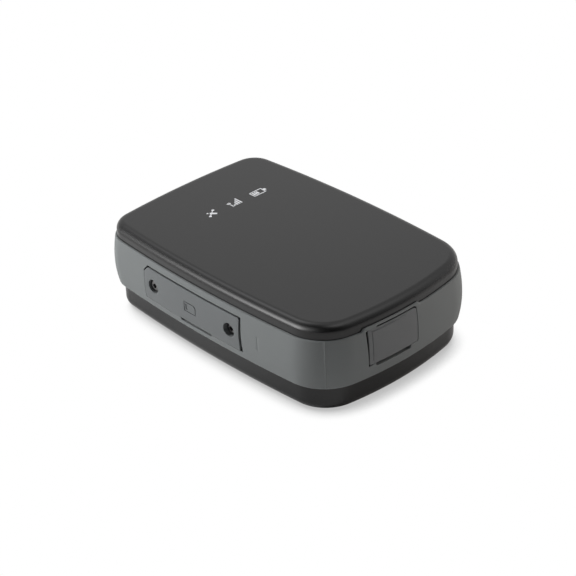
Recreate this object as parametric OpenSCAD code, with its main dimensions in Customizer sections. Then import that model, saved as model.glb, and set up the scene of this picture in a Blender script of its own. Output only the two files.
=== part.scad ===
// Pocket gps tracker: black lid and tub with a grey rubber band all round.
// X runs along the length with the socket end at +X, Y across the width with
// the card door at -Y, and Z up. The origin is at the middle of the underside.

/* [Case] */
// Overall length over the band
case_l = 92; // [88:0.5:110]
// Overall width over the band
case_w = 62.2; // [60:0.2:74]
// Overall height
case_h = 27; // [26.4:0.2:32]
// Radius of the slow curve along each long side
side_curve_r = 430; // [320:5:800]
// Radius of the curve across the socket end
front_curve_r = 106.6; // [96:0.2:200]
// Radius of the curve across the icon end
rear_curve_r = 257; // [180:1:500]
// Corner radius of the band at the socket end
front_corner_r = 13.8; // [12:0.2:17]
// Corner radius of the band at the icon end
rear_corner_r = 8.4; // [7.8:0.1:11]

/* [Bumper band] */
// Height of the lower edge of the band
band_bottom_z = 8.1; // [7:0.1:9]
// Height of the upper edge of the band
band_top_z = 22.8; // [22.4:0.1:23.6]
// Height at which the band bulges furthest
band_crown_z = 15; // [13:0.5:17]
// How far the upper edge of the band lies inside the crown
band_top_drop = 0.77; // [0.4:0.01:1.1]
// How far the lower edge of the band lies inside the crown
band_bottom_drop = 0.88; // [0.4:0.01:1.1]
// Thickness of the band at its crown
band_t = 2.8; // [2.6:0.1:3]

/* [Shells] */
// Step from the crown of the band in to the wall of the lid
cover_step = 1.28; // [1.2:0.01:1.8]
// Step from the crown of the band in to the wall of the tub
tub_step = 2.22; // [1.6:0.02:2.4]
// Rounding of the upper edge of the lid
cover_round = 2.5; // [1.5:0.1:3]
// Rounding of the lower edge of the tub
tub_round = 2.9; // [1.5:0.1:3.4]
// Wall of both shells
wall_t = 1.8; // [1.6:0.1:2]
// Thickness of the flat part of the lid
lid_t = 2; // [1.6:0.1:2.6]
// Thickness of the floor of the tub
floor_t = 2; // [1.6:0.1:2.2]
// How far below the upper edge of the band the lid and the tub meet
rim_drop = 0.5; // [0.4:0.1:0.7]
// Width of the groove for the case gasket
gasket_w = 0.8; // [0.6:0.05:0.9]
// Depth of the groove for the case gasket
gasket_d = 0.9; // [0.8:0.1:1.1]

/* [Card door] */
// Length of the door
door_l = 38.8; // [37.6:0.2:41]
// Height of the lower edge of the door
door_bottom_z = 10.5; // [10.2:0.1:10.8]
// Height of the upper edge of the door
door_top_z = 20.4; // [20:0.1:20.6]
// Place of the middle of the door, towards the icon end
door_shift = 6.1; // [5:0.1:7]
// Thickness of the door at the crown
door_t = 4; // [3.8:0.1:4.2]
// Clipped corner of the door
door_clip = 1.5; // [0.8:0.1:2]
// Distance between the two door screws
door_screw_pitch = 31.2; // [30.8:0.1:31.6]
// Recess round each door screw
door_recess_d = 4.2; // [4.2:0.1:4.6]
// Depth of the recess below the outermost point of the side
door_recess_depth = 2.9; // [2.8:0.05:3]
// Length of the fingernail slot under the door
door_nail_l = 12; // [8:0.5:15]

/* [Socket flap] */
// Width of the flap
flap_w = 17.1; // [16.8:0.1:18]
// Height of the lower edge of the flap
flap_bottom_z = 12.3; // [12:0.1:12.5]
// Distance of the middle of the flap from the door side
flap_from_side = 25.45; // [25.1:0.05:25.7]
// Thickness of the flap at the crown
flap_t = 2.4; // [2:0.1:2.4]
// Length of the fingernail slot under the flap
flap_nail_l = 12; // [8:0.5:14]
// Height of the raised lip of the band over the flap
flap_lip_h = 0.55; // [0.3:0.05:0.8]

/* [Socket and switch] */
// Width of the charging socket
usb_w = 7.7; // [7.4:0.1:7.9]
// Height of the charging socket
usb_h = 3.9; // [3.6:0.1:4]
// Depth of the charging socket
usb_d = 9.2; // [8:0.1:10]
// Distance of the middle of the socket from the door side
usb_from_side = 27.9; // [27.7:0.1:28.1]
// Distance of the middle of the power switch from the door side
switch_from_side = 19.8; // [19.6:0.05:20]
// Travel of the power switch
switch_travel = 2; // [1.6:0.1:2.2]

/* [Main board] */
// Room between the board and the wall at the icon end
board_rear_room = 3.2; // [3:0.1:4]
// Room between the board and the wall at the socket end
board_front_room = 1.9; // [1.7:0.1:2.6]
// Room between the board and the wall along each side
board_side_room = 4.95; // [4.85:0.05:5.25]
// Thickness of the board
board_t = 1.6; // [1.2:0.1:1.8]
// Height of the underside of the board
board_z = 13.4; // [13.2:0.1:13.6]

/* [Battery] */
// How far the battery stops short of the board at the icon end
battery_rear_room = 8.15; // [8:0.05:12]
// How far the battery stops short of the board at the socket end
battery_front_room = 15.45; // [14.5:0.05:20]
// How far the battery stops short of the board along each side
battery_side_room = 2.5; // [1.5:0.1:6]
// Thickness of the battery
battery_t = 8.6; // [7.4:0.1:9]
// Thickness of the foam pad under the battery
pad_t = 0.8; // [0.5:0.1:1]

/* [Card] */
// Length of the sim card
card_l = 25; // [24:0.1:26]
// Width of the sim card
card_w = 15; // [14:0.1:15.4]
// Thickness of the sim card
card_t = 0.76; // [0.6:0.02:0.9]

/* [Antennas] */
// Room between the card socket and the square ceramic antenna
patch_room = 5.8; // [5.3:0.1:8.8]
// Height of the ceramic antenna
patch_h = 4; // [2:0.2:5]
// Distance of the cellular antenna from the end of the board
cell_rear_room = 18.55; // [18:0.05:26]
// Room between the cellular antenna and the lid
cell_lid_room = 3.4; // [3:0.1:6]

/* [Status lights] */
// Distance of the row of lights from the icon end
light_row = 21.7; // [21:0.1:22]
// Spacing of the three lights
light_pitch = 8.4; // [7.4:0.1:8.6]
// Place of the middle light across the width
light_shift = 2.8; // [1.5:0.1:3]
// Diameter of a prong of the light guide
light_d = 2.6; // [2:0.1:2.8]

/* [Hidden] */

// Steps round a full turn, for small round forms and for the slow curves
$fn = 48;
slow_fn = 720;
bend_fn = 96;

// Steps along each arc of the plan and up each curve of a profile
end_steps = 4;
corner_steps = 12;
side_steps = 8;
round_steps = 6;
crown_steps = 5;

// One overrun for every cut, and one small lap where two forms join
over = 1;
lap = 0.3;

// Clearances: between moving pieces, of a running fit, and for assembly
move_gap = 0.3;
fit_gap = 0.05;
assembly_gap = 0.6;

// The plan is eight arcs that run into one another. Every layer is inset from
// the crown of the band, so all layers share these centres.
half_l = case_l / 2;
half_w = case_w / 2;
side_c = side_curve_r - half_w;
front_c = half_l - front_curve_r;
rear_c = half_l - rear_curve_r;

// Centre of the corner arc that touches both the side arc and an end arc,
// with the end at +X and the side at +Y
function corner_centre(c, end_r, corner_r) =
  let (
    u = side_curve_r - corner_r,
    v = end_r - corner_r,
    d = sqrt(c * c + side_c * side_c),
    t = (u * u - v * v + d * d) / (2 * d),
    h = sqrt(u * u - t * t)
  )
  [(t * c + h * side_c) / d, -side_c + (t * side_c - h * c) / d];

front_corner = corner_centre(front_c, front_curve_r, front_corner_r);
rear_corner = corner_centre(rear_c, rear_curve_r, rear_corner_r);

// Angles at which the arcs meet, the icon end being worked out at +X too
front_side_a = atan2(front_corner.y + side_c, front_corner.x);
rear_side_a = atan2(rear_corner.y + side_c, rear_corner.x);
front_end_a = atan2(front_corner.y, front_corner.x - front_c);
rear_end_a = atan2(rear_corner.y, rear_corner.x - rear_c);

// Insets of the layers
seat_in = band_t + fit_gap;
inner_in = seat_in + wall_t;
inner_round = 1;
rim_z = band_top_z - rim_drop;
lid_under_z = case_h - lid_t;

// The two curves of the bulged face of the band
band_lip_round = 0.3;
crown_up = band_top_z - band_crown_z;
crown_down = band_crown_z - band_bottom_z;
crown_up_r = (crown_up * crown_up + band_top_drop * band_top_drop) / (2 * band_top_drop);
crown_down_r = (crown_down * crown_down + band_bottom_drop * band_bottom_drop) / (2 * band_bottom_drop);
function face_in(z) =
  let (r = z > band_crown_z ? crown_up_r : crown_down_r, d = z - band_crown_z)
  r - sqrt(r * r - d * d);

// Long side and ends of a layer at one inset
function side_y(x, inset) = side_c - sqrt(pow(side_curve_r - inset, 2) - x * x);
function front_x(y, inset) = front_c + sqrt(pow(front_curve_r - inset, 2) - y * y);

// Gasket groove in the middle of the wall, and the tongue that presses on it
groove_in = seat_in + (wall_t - gasket_w) / 2;
tongue_l = 0.35;
gasket_h = gasket_d - tongue_l - fit_gap;

// Corner posts
post_r = 3.2;
post_meet_z = 13.2;
web_t = 2.4;
web_drop = 0.4;
front_post_reach = (front_corner_r - inner_in - post_r - move_gap) * cos(45);
rear_post_reach = (rear_corner_r - inner_in - post_r - move_gap) * cos(45);
front_post = [front_corner.x + front_post_reach, front_corner.y + front_post_reach];
rear_post = [rear_corner.x + rear_post_reach, rear_corner.y + rear_post_reach];

// Case screws and the inserts in the lid's posts
case_screw_r = 1.25;
case_screw_head_r = 2.2;
case_screw_head_h = 1.7;
case_screw_recess = 0.8;
case_screw_l = 14;
case_screw_seat_z = case_screw_recess + case_screw_head_h;
case_screw_way = 0.25;
case_screw_room = 1.9;
case_drive_r = 0.9;
case_drive_d = 0.9;
insert_wall = 0.65;
insert_l = 4;
insert_r = case_screw_r + fit_gap + insert_wall;

// Stiffening ribs under the lid
cover_rib_t = 1.2;
cover_rib_h = 1.6;
cover_rib_y_share = 0.34;

// Card door, its pocket in the tub and the pad behind it
door_mid_z = (door_bottom_z + door_top_z) / 2;
door_gap = 0.3;
door_back_gap = 0.2;
door_corner_r = 0.6;
door_pocket_in = door_t + door_back_gap;
door_pad_t = 1.8;
door_pad_in = door_pocket_in + door_pad_t;
door_pad_margin = 1.2;
nail_h = 0.55;
nail_d = 1.4;
nail_shift = 1.7;

// Door screws, their inserts and bosses
door_screw_x = [-door_shift - door_screw_pitch / 2, -door_shift + door_screw_pitch / 2];
door_screw_r = 1;
door_screw_head_r = 1.75;
door_screw_head_h = 1.8;
door_screw_l = 5.2;
door_screw_way = 0.15;
door_drive_r = 0.7;
door_drive_d = 0.8;
door_screw_z_share = 0.5;
door_screw_z = door_bottom_z + (door_top_z - door_bottom_z) * door_screw_z_share;
door_seat_y = -half_w + door_recess_depth;
door_tip_y = door_seat_y + door_screw_l;
door_insert_wall = 0.65;
door_insert_l = 3;
door_insert_r = door_screw_r + fit_gap + door_insert_wall;
door_boss_wall = 1;
door_boss_room = 0.2;
door_boss_end = 0.6;

// Seal in a groove on the back of the door
seal_w = 1;
seal_d = 0.9;
seal_h_share = 0.66;
seal_screw_gap = 1.1;
seal_l = door_screw_pitch - door_recess_d - 2 * seal_screw_gap;
seal_h = (door_top_z - door_bottom_z) * seal_h_share;
seal_round = 1.6;
seal_proud = door_back_gap - fit_gap;

// Way for the card through the pad
card_way_side = 1;
card_way_h = 3;

// Flap, the raised lip over it and its plug
flap_shift = half_w - flap_from_side;
usb_shift = half_w - usb_from_side;
switch_shift = half_w - switch_from_side;
flap_y0 = -flap_shift - flap_w / 2;
flap_y1 = -flap_shift + flap_w / 2;
flap_gap = 0.3;
flap_far_gap = 0.6;
flap_top_z = band_top_z - flap_gap;
flap_round = 0.7;
flap_lip_t = 0.8;
flap_lip_side = 1.4;
flap_lip_root = 1.4;
flap_nail_shift = 0.3;
socket_way_side = 1.35;
socket_way_rise = 1.4;
socket_way_round = 1.5;
socket_way_w = usb_w + 2 * socket_way_side;
socket_way_h = usb_h + 2 * socket_way_rise;
plug_depth = 1.2;
plug_far_gap = 0.9;
plug_near_gap = 0.5;
plug_rise_gap = 0.4;
plug_round = 1.1;
plug_wall = 1.2;
lip_in = cover_step - fit_gap - flap_lip_t;

// Board, and where its ends lie
board_top_z = board_z + board_t;
board_x0 = -half_l + inner_in + board_rear_room;
board_x1 = half_l - inner_in - board_front_room;
board_y1 = half_w - inner_in - board_side_room;
board_y0 = -board_y1;

// Battery and the posts at its ends that carry the board
battery_x0 = board_x0 + battery_rear_room;
battery_x1 = board_x1 - battery_front_room;
battery_l = battery_x1 - battery_x0;
battery_w = 2 * (board_y1 - battery_side_room);
battery_x = (battery_x0 + battery_x1) / 2;
battery_round = 2.5;
battery_step_l = 4;
battery_step_h_share = 0.45;
battery_z = floor_t + pad_t;
cradle_gap = 0.5;
cradle_t = 1.2;
cradle_h = 4;
cradle_l_share = 0.7;
stand_r = 2.2;
stand_gap = 0.9;
stand_in = 6.5;
stand_y = board_y1 - stand_in;
stand_x = [battery_x0 - stand_gap - stand_r, battery_x1 + stand_gap + stand_r];
board_screw_r = 1;
board_screw_head_r = 1.8;
board_screw_head_h = 1.2;
board_screw_l = 6;
board_screw_room = 1;

// Charging socket
usb_over = 1.2;
usb_wall = 0.35;
usb_chamfer = 0.9;
usb_tongue_w_share = 0.62;
usb_tongue_t = 0.8;
usb_tongue_back = 0.8;
usb_x1 = board_x1 + usb_over;
usb_x0 = usb_x1 - usb_d;
usb_mid_z = board_top_z + usb_h / 2;

// Power switch
switch_w = 6.8;
switch_l = 4;
switch_h = 3.4;
switch_slot_d = 1.2;
switch_rail = 0.6;
knob_w = 1.6;
knob_h = 1.4;
knob_back_gap = 0.2;
// From the wall back to the front of the switch, at the corner of the switch nearest to the wall
switch_wall_room = 0.23465;
switch_x1 = front_x(switch_shift + switch_w / 2, inner_in) - switch_wall_room;
knob_rest_y = -switch_shift - switch_travel / 2;
switch_mid_z = board_top_z + switch_h / 2;

// Card and its socket
card_room = 0.15;
card_x = -door_shift;
card_out = 2.8;
card_floor = 0.7;
card_roof = 0.5;
card_socket_side = 1.1;
card_socket_back = 1;
card_notch = 3;
card_y0 = board_y0 - card_out;
card_z = board_top_z + card_floor + card_room;
card_socket_h = card_floor + card_t + 2 * card_room + card_roof;
card_socket_w = card_w + 2 * card_room + 2 * card_socket_side;
card_socket_y1 = card_y0 + card_l + card_room + card_socket_back;
card_window_share = 0.55;

// Shield cans
part_gap = 0.9;
can_t = 0.3;
can_hole_r = 0.6;
can_hole_pitch = 3;
modem_h = 2.4;
modem_light_room = 4.45;
modem_back = 4.5;
modem_side_gap = 2.35;
gnss_l = 8;
gnss_h = 1.8;
gnss_w_share = 0.54;
light_x = -half_l + light_row;
modem_x0 = light_x + modem_light_room;
modem_l = card_x + card_socket_w / 2 - modem_back - modem_x0;
modem_y0 = card_socket_y1 + part_gap;
gnss_y0 = -usb_shift + usb_w / 2 + part_gap;
gnss_w = (front_post.y - post_r - assembly_gap - gnss_y0) * gnss_w_share;

// Ceramic antenna between the card socket and the charging socket
usb_room = 5;
patch_face_share = 0.78;
patch_face_t = 0.15;
patch_pin_share = 0.12;
patch_pin_r = 0.8;
patch_pin_h = 0.3;
patch_x1 = usb_x0 - usb_room;
patch_x0 = card_x + card_socket_w / 2 + patch_room;
patch_side = patch_x1 - patch_x0;

// Cellular antenna along the far edge of the board
cell_w_share = 0.32;
cell_w = (board_y1 - modem_y0) * cell_w_share;
cell_x1 = stand_x[1] - board_screw_head_r - part_gap;
cell_x0 = board_x0 + cell_rear_room;
cell_l = cell_x1 - cell_x0;
cell_y0 = board_y1 - cell_w;
cell_top_z = lid_under_z - cell_lid_room;
cell_wall = 0.8;
modem_w = cell_y0 - modem_side_gap - modem_y0;
cell_bays = 4;
trace_t = 0.15;
trace_slots = 7;
trace_slot_share = 0.35;
trace_reach_share = 0.7;

// Status lights and their guide
led_l = 1.6;
led_w = 0.9;
led_h = 0.7;
guide_gap = 0.4;
guide_bar_t = 1.6;
guide_bar_w = 3.6;
guide_bar_end = 2.2;

// Battery plug, its header on the board and the two leads
lead_r = 0.6;
lead_pitch = 2.6;
lead_bend_r = 2;
lead_rise = 2.2;
plug_l = 5.4;
plug_w = 6.8;
plug_h = 3;
plug_out = 1.2;
header_l = 5.6;
header_wall = 0.7;
header_gap = 0.1;
header_back = 0.8;
lead_x = (-half_l + inner_in + board_x0) / 2;
lead_start_z = battery_z + battery_t * battery_step_h_share / 2;
lead_end_z = board_top_z + lead_rise;
plug_x0 = lead_x + lead_bend_r + lap;
header_x0 = plug_x0 + plug_out;

// Rows of small parts beside the card socket
passive_rows = 2;
passive_count = 6;
passive_w = 0.6;
passive_l = 1.1;
passive_h = 0.6;
passive_pitch = 1.4;
passive_row_pitch = 2;
passive_x0 = card_x + card_socket_w / 2 + part_gap;
passive_y0 = board_y0 + part_gap;

// Rooms for chips on each side of the card socket, each [x0, x1, y0, y1]
chip_gap = 0.3;
chip_rooms = [
  [
    stand_x[0] + board_screw_head_r, card_x - card_socket_w / 2,
    board_y0, light_shift - light_pitch - led_w / 2 - part_gap
  ],
  [
    card_x + card_socket_w / 2, usb_x0,
    passive_y0 + (passive_rows - 1) * passive_row_pitch + passive_l + chip_gap, -patch_side / 2
  ]
];

// Chips in each room: place of the middle and size as shares of the room, and
// the height as a share of one chip's height
chip_h = 1;
chip_shares = [
  [
    [0.315, 0.59, 0.52, 0.59, 0.9],
    [0.786, 0.38, 0.33, 0.35, 0.8]
  ],
  [
    [0.106, 0.21, 0.108, 0.37, 1],
    [0.308, 0.27, 0.16, 0.52, 1.8],
    [0.564, 0.24, 0.135, 0.42, 0.7]
  ]
];

// The profile, drawn with X as minus the inset and Y as the height, swept
// along one arc of the plan
module arc_sweep(c, r, a0, a1, steps) {
  translate([c.x, c.y])
    rotate(a0)
      rotate_extrude(angle = a1 - a0, $fn = steps)
        translate([r, 0])
          children();
}

module side_sweep() {
  arc_sweep([0, -side_c], side_curve_r, front_side_a, 180 - rear_side_a, slow_fn)
    children();
}

module door_side_sweep() {
  mirror([0, 1])
    side_sweep()
      children();
}

module front_sweep() {
  arc_sweep([front_c, 0], front_curve_r, -front_end_a, front_end_a, slow_fn)
    children();
}

// Points of the plan at one inset, going round from the middle of the socket
// end
function arc_points(c, r, a0, a1, steps) =
  [for (i = [0 : steps - 1]) let (a = a0 + (a1 - a0) * i / steps)
    [c.x + r * cos(a), c.y + r * sin(a)]];

function half_points(inset) = concat(
  arc_points([front_c, 0], front_curve_r - inset, 0, front_end_a, end_steps),
  arc_points(front_corner, front_corner_r - inset, front_end_a, front_side_a, corner_steps),
  arc_points([0, -side_c], side_curve_r - inset, front_side_a, 180 - rear_side_a, side_steps),
  arc_points([-rear_corner.x, rear_corner.y], rear_corner_r - inset,
    180 - rear_side_a, 180 - rear_end_a, corner_steps),
  arc_points([-rear_c, 0], rear_curve_r - inset, 180 - rear_end_a, 180, end_steps)
);

function plan_points(inset) =
  let (half = half_points(inset), n = len(half))
  concat(half, [[-half_l + inset, 0]], [for (i = [n - 1 : -1 : 1]) [half[i].x, -half[i].y]]);

// A skin through the plan at a list of levels, each an inset and a height.
// An open list is capped at both ends, and a closed one makes a ring.
module skin(levels, ring = false) {
  n = len(plan_points(0));
  m = len(levels);
  last = ring ? m - 1 : m - 2;
  polyhedron(
    points = [for (l = levels) for (p = plan_points(l.x)) [p.x, p.y, l.y]],
    faces = concat(
      [for (i = [0 : last], j = [0 : n - 1])
        [i * n + j, (i + 1) % m * n + j, (i + 1) % m * n + (j + 1) % n]],
      [for (i = [0 : last], j = [0 : n - 1])
        [i * n + j, (i + 1) % m * n + (j + 1) % n, i * n + (j + 1) % n]],
      ring ? [] : [
        [for (j = [0 : n - 1]) j],
        [for (j = [n - 1 : -1 : 0]) (m - 1) * n + j]
      ]
    )
  );
}

// Rectangle with round corners, centred
module round_rect(w, h, r) {
  square([w - 2 * r, h], center = true);
  square([w, h - 2 * r], center = true);
  for (s = [-1, 1], t = [-1, 1])
    translate([s * (w / 2 - r), t * (h / 2 - r)])
      circle(r);
}

// Box between two opposite corners
module box_between(p, q) {
  translate(p)
    cube(q - p);
}

// An outline drawn in Y and Z, extruded along X from x0 to x1
module along_x(x0, x1) {
  translate([x0, 0, 0])
    rotate([90, 0, 90])
      linear_extrude(x1 - x0)
        children();
}

// An outline drawn in X and Z, extruded along Y from y0 to y1
module along_y(y0, y1) {
  translate([0, y1, 0])
    rotate([90, 0, 0])
      linear_extrude(y1 - y0)
        children();
}

// Rod along Y from y0 to y1
module rod_y(x, y0, y1, z, r) {
  translate([x, y1, z])
    rotate([90, 0, 0])
      cylinder(r = r, h = y1 - y0);
}

module rod_z(x, y, z0, z1, r) {
  translate([x, y, z0])
    cylinder(r = r, h = z1 - z0);
}

// Children at the four corner posts, their +X and +Y side facing the corner
module at_posts() {
  for (s = [0, 1])
    mirror([0, s]) {
      translate([front_post.x, front_post.y])
        children();
      mirror([1, 0])
        translate([rear_post.x, rear_post.y])
          children();
    }
}

// Top cover, from its ceiling down the inside, over the tongue that presses on
// the gasket, and up the outside
cover_levels = concat(
  [
    [inner_in, lid_under_z],
    [inner_in, rim_z],
    [groove_in + gasket_w - fit_gap, rim_z],
    [groove_in + gasket_w - fit_gap, rim_z - tongue_l],
    [groove_in + fit_gap, rim_z - tongue_l],
    [groove_in + fit_gap, rim_z],
    [seat_in, rim_z],
    [seat_in, band_top_z],
    [cover_step, band_top_z]
  ],
  [for (i = [0 : round_steps]) let (a = 90 * i / round_steps)
    [cover_step + cover_round * (1 - cos(a)), case_h - cover_round * (1 - sin(a))]]
);

module top_cover() {
  rib_y = (half_w - inner_in) * cover_rib_y_share;
  color([0.15, 0.15, 0.15])
    difference() {
      union() {
        skin(cover_levels);
        at_posts()
          rod_z(0, 0, post_meet_z + fit_gap, lid_under_z + lap, post_r);
        for (s = [-1, 1])
          box_between(
            [modem_x0, s * rib_y - cover_rib_t / 2, lid_under_z - cover_rib_h],
            [front_post.x - post_r, s * rib_y + cover_rib_t / 2, lid_under_z + lap]
          );
      }
      at_posts() {
        rod_z(0, 0, post_meet_z - over, post_meet_z + fit_gap + insert_l, insert_r + fit_gap);
        rod_z(0, 0, post_meet_z, case_screw_seat_z + case_screw_l + case_screw_room, case_screw_r + fit_gap);
      }
    }
}

// Bottom case, from its underside up the outside, over the gasket groove in
// the rim, and down the inside
tub_levels = concat(
  [for (i = [0 : round_steps]) let (a = 90 * i / round_steps)
    [tub_step + tub_round * (1 - sin(a)), tub_round * (1 - cos(a))]],
  [
    [tub_step, band_bottom_z],
    [seat_in, band_bottom_z],
    [seat_in, rim_z],
    [groove_in, rim_z],
    [groove_in, rim_z - gasket_d],
    [groove_in + gasket_w, rim_z - gasket_d],
    [groove_in + gasket_w, rim_z],
    [inner_in, rim_z],
    [inner_in, floor_t + inner_round],
    [inner_in + inner_round, floor_t]
  ]
);

module door_outline(grow) {
  x0 = -door_shift - door_l / 2 - grow;
  x1 = -door_shift + door_l / 2 + grow;
  z0 = door_bottom_z - grow;
  z1 = door_top_z + grow;
  r = door_corner_r + grow;
  difference() {
    translate([(x0 + x1) / 2, (z0 + z1) / 2])
      round_rect(x1 - x0, z1 - z0, r);
    polygon([
      [x0 - over, z1 - door_clip - over],
      [x0 + door_clip + over, z1 + over],
      [x0 - over, z1 + over]
    ]);
  }
}

module door_pad() {
  intersection() {
    door_side_sweep()
      translate([-door_pad_in, floor_t])
        square([door_pad_in - seat_in - lap, rim_z - gasket_d - floor_t]);
    along_y(-half_w, 0)
      translate([-door_shift, door_mid_z])
        square([
          door_l + 2 * (door_gap + door_pad_margin),
          door_top_z - door_bottom_z + 2 * (door_gap + door_pad_margin)
        ], center = true);
  }
}

module cradle() {
  y = battery_w / 2 + cradle_gap;
  l = battery_l * cradle_l_share;
  for (s = [-1, 1])
    translate([battery_x, s * (y + cradle_t / 2), floor_t - lap + (cradle_h + lap) / 2])
      cube([l, cradle_t, cradle_h + lap], center = true);
}

module bottom_case() {
  color([0.2, 0.2, 0.2])
    difference() {
      union() {
        skin(tub_levels);
        door_pad();
        at_posts() {
          rod_z(0, 0, floor_t - lap, post_meet_z, post_r);
          rotate(45)
            translate([post_r - lap, -web_t / 2, floor_t - lap])
              cube([move_gap + 2 * lap, web_t, post_meet_z - web_drop - floor_t + lap]);
        }
        for (x = stand_x, s = [-1, 1])
          rod_z(x, s * stand_y, floor_t - lap, board_z, stand_r);
        for (x = door_screw_x)
          rod_y(x, side_y(x, door_pocket_in + lap), door_tip_y + door_boss_room + door_boss_end, door_screw_z,
            door_insert_r + door_boss_wall);
        cradle();
      }
      at_posts() {
        rod_z(0, 0, -over, case_screw_seat_z, case_screw_head_r + case_screw_way);
        rod_z(0, 0, 0, post_meet_z + over, case_screw_r + case_screw_way);
      }
      for (x = stand_x, s = [-1, 1])
        rod_z(x, s * stand_y, board_z - board_screw_l + board_t - board_screw_room, board_z + over, board_screw_r + fit_gap);
      intersection() {
        door_side_sweep()
          translate([-door_pocket_in, 0])
            square([door_pocket_in + over, case_h]);
        along_y(-half_w - over, 0)
          door_outline(door_gap);
      }
      for (x = door_screw_x) {
        rod_y(x, door_seat_y, door_tip_y + door_boss_room, door_screw_z, door_screw_r + door_screw_way);
        rod_y(x, door_tip_y - door_insert_l, door_tip_y + fit_gap, door_screw_z, door_insert_r + fit_gap);
      }
      box_between(
        [card_x - card_w / 2 - card_way_side, -half_w, card_z + (card_t - card_way_h) / 2],
        [card_x + card_w / 2 + card_way_side, board_y0, card_z + (card_t + card_way_h) / 2]
      );
      along_x(front_c + front_curve_r / 2, half_l)
        translate([-usb_shift, usb_mid_z])
          round_rect(socket_way_w, socket_way_h, socket_way_round);
      box_between(
        [board_x1, knob_rest_y - knob_w / 2 - move_gap, switch_mid_z - knob_h / 2 - move_gap],
        [half_l, knob_rest_y + switch_travel + knob_w / 2 + move_gap, switch_mid_z + knob_h / 2 + move_gap]
      );
    }
}

// Bumper band, up its bulged face and down its flat back
band_levels = concat(
  [[face_in(band_bottom_z + band_lip_round) + band_lip_round, band_bottom_z]],
  [for (i = [0 : crown_steps - 1])
    let (z0 = band_bottom_z + band_lip_round, z = z0 + (band_crown_z - z0) * i / crown_steps)
    [face_in(z), z]],
  [for (i = [0 : crown_steps])
    let (z1 = band_top_z - band_lip_round, z = band_crown_z + (z1 - band_crown_z) * i / crown_steps)
    [face_in(z), z]],
  [
    [face_in(band_top_z - band_lip_round) + band_lip_round, band_top_z],
    [band_t, band_top_z],
    [band_t, band_bottom_z]
  ]
);

// Profile of a panel whose face is flush with the band
module band_face(depth, low_z, high_z) {
  intersection() {
    translate([-crown_up_r, band_crown_z])
      circle(crown_up_r, $fn = slow_fn);
    translate([-depth, band_crown_z])
      square([depth + over, high_z - band_crown_z]);
  }
  intersection() {
    translate([-crown_down_r, band_crown_z])
      circle(crown_down_r, $fn = slow_fn);
    translate([-depth, low_z])
      square([depth + over, band_crown_z - low_z]);
  }
}

module flap_window() {
  box_between(
    [front_corner.x, flap_y0 - flap_far_gap, flap_bottom_z - flap_gap],
    [half_l + over, flap_y1 + flap_gap, band_top_z]
  );
}

module bumper_band() {
  nail_y = -flap_shift - flap_nail_shift;
  nail_x = -door_shift + nail_shift;
  color([0.44, 0.46, 0.46])
    union() {
      difference() {
        skin(band_levels, ring = true);
        along_y(-half_w - over, 0)
          door_outline(door_gap);
        box_between(
          [nail_x - door_nail_l / 2, -half_w - over, door_bottom_z - door_gap - nail_h],
          [nail_x + door_nail_l / 2, -half_w + nail_d, door_bottom_z]
        );
        flap_window();
        box_between(
          [half_l - nail_d, nail_y - flap_nail_l / 2, flap_bottom_z - flap_gap - nail_h],
          [half_l + over, nail_y + flap_nail_l / 2, flap_bottom_z]
        );
      }
      difference() {
        intersection() {
          front_sweep()
            translate([-lip_in - flap_lip_t, band_top_z - flap_lip_root])
              square([flap_lip_t, flap_lip_root + flap_lip_h]);
          box_between(
            [front_corner.x, flap_y0 - flap_far_gap - flap_lip_side, 0],
            [half_l, flap_y1 + flap_gap + flap_lip_side, case_h]
          );
        }
        flap_window();
      }
    }
}

// Seal between the lid and the tub
module case_gasket() {
  color([0.7, 0.25, 0.15])
    skin([
      [groove_in + fit_gap, rim_z - gasket_d],
      [groove_in + fit_gap, rim_z - gasket_d + gasket_h],
      [groove_in + gasket_w - fit_gap, rim_z - gasket_d + gasket_h],
      [groove_in + gasket_w - fit_gap, rim_z - gasket_d]
    ], ring = true);
}

// Case screws from below, and their inserts
module case_screws() {
  color([0.6, 0.6, 0.62])
    at_posts()
      difference() {
        union() {
          rod_z(0, 0, case_screw_recess, case_screw_seat_z, case_screw_head_r);
          rod_z(0, 0, case_screw_seat_z - lap, case_screw_seat_z + case_screw_l, case_screw_r);
        }
        translate([0, 0, case_screw_recess - over])
          cylinder(r = case_drive_r, h = case_drive_d + over, $fn = 6);
      }
}

module cover_inserts() {
  color([0.75, 0.6, 0.3])
    at_posts()
      difference() {
        rod_z(0, 0, post_meet_z + fit_gap, post_meet_z + fit_gap + insert_l, insert_r);
        rod_z(0, 0, post_meet_z - over, post_meet_z + insert_l + over, case_screw_r + fit_gap);
      }
}

// Card door
module sim_door() {
  color([0.44, 0.46, 0.46])
    difference() {
      intersection() {
        door_side_sweep()
          band_face(door_t, band_bottom_z, band_top_z);
        along_y(-half_w - over, 0)
          door_outline(0);
      }
      for (x = door_screw_x) {
        rod_y(x, -half_w - over, door_seat_y, door_screw_z, door_recess_d / 2);
        rod_y(x, -half_w, 0, door_screw_z, door_screw_r + door_screw_way);
      }
      seal_ring(fit_gap, door_t - seal_d - fit_gap, door_t + over);
    }
}

module seal_ring(grow, in0, in1) {
  intersection() {
    door_side_sweep()
      translate([-in1, band_bottom_z])
        square([in1 - in0, band_top_z - band_bottom_z]);
    along_y(-half_w, 0)
      translate([-door_shift, door_mid_z])
        difference() {
          round_rect(seal_l + 2 * grow, seal_h + 2 * grow, seal_round + grow);
          round_rect(seal_l - 2 * (seal_w + grow), seal_h - 2 * (seal_w + grow), seal_round - seal_w - grow);
        }
  }
}

module sim_door_seal() {
  color([0.12, 0.12, 0.12])
    seal_ring(0, door_t - seal_d, door_t + seal_proud);
}

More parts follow.
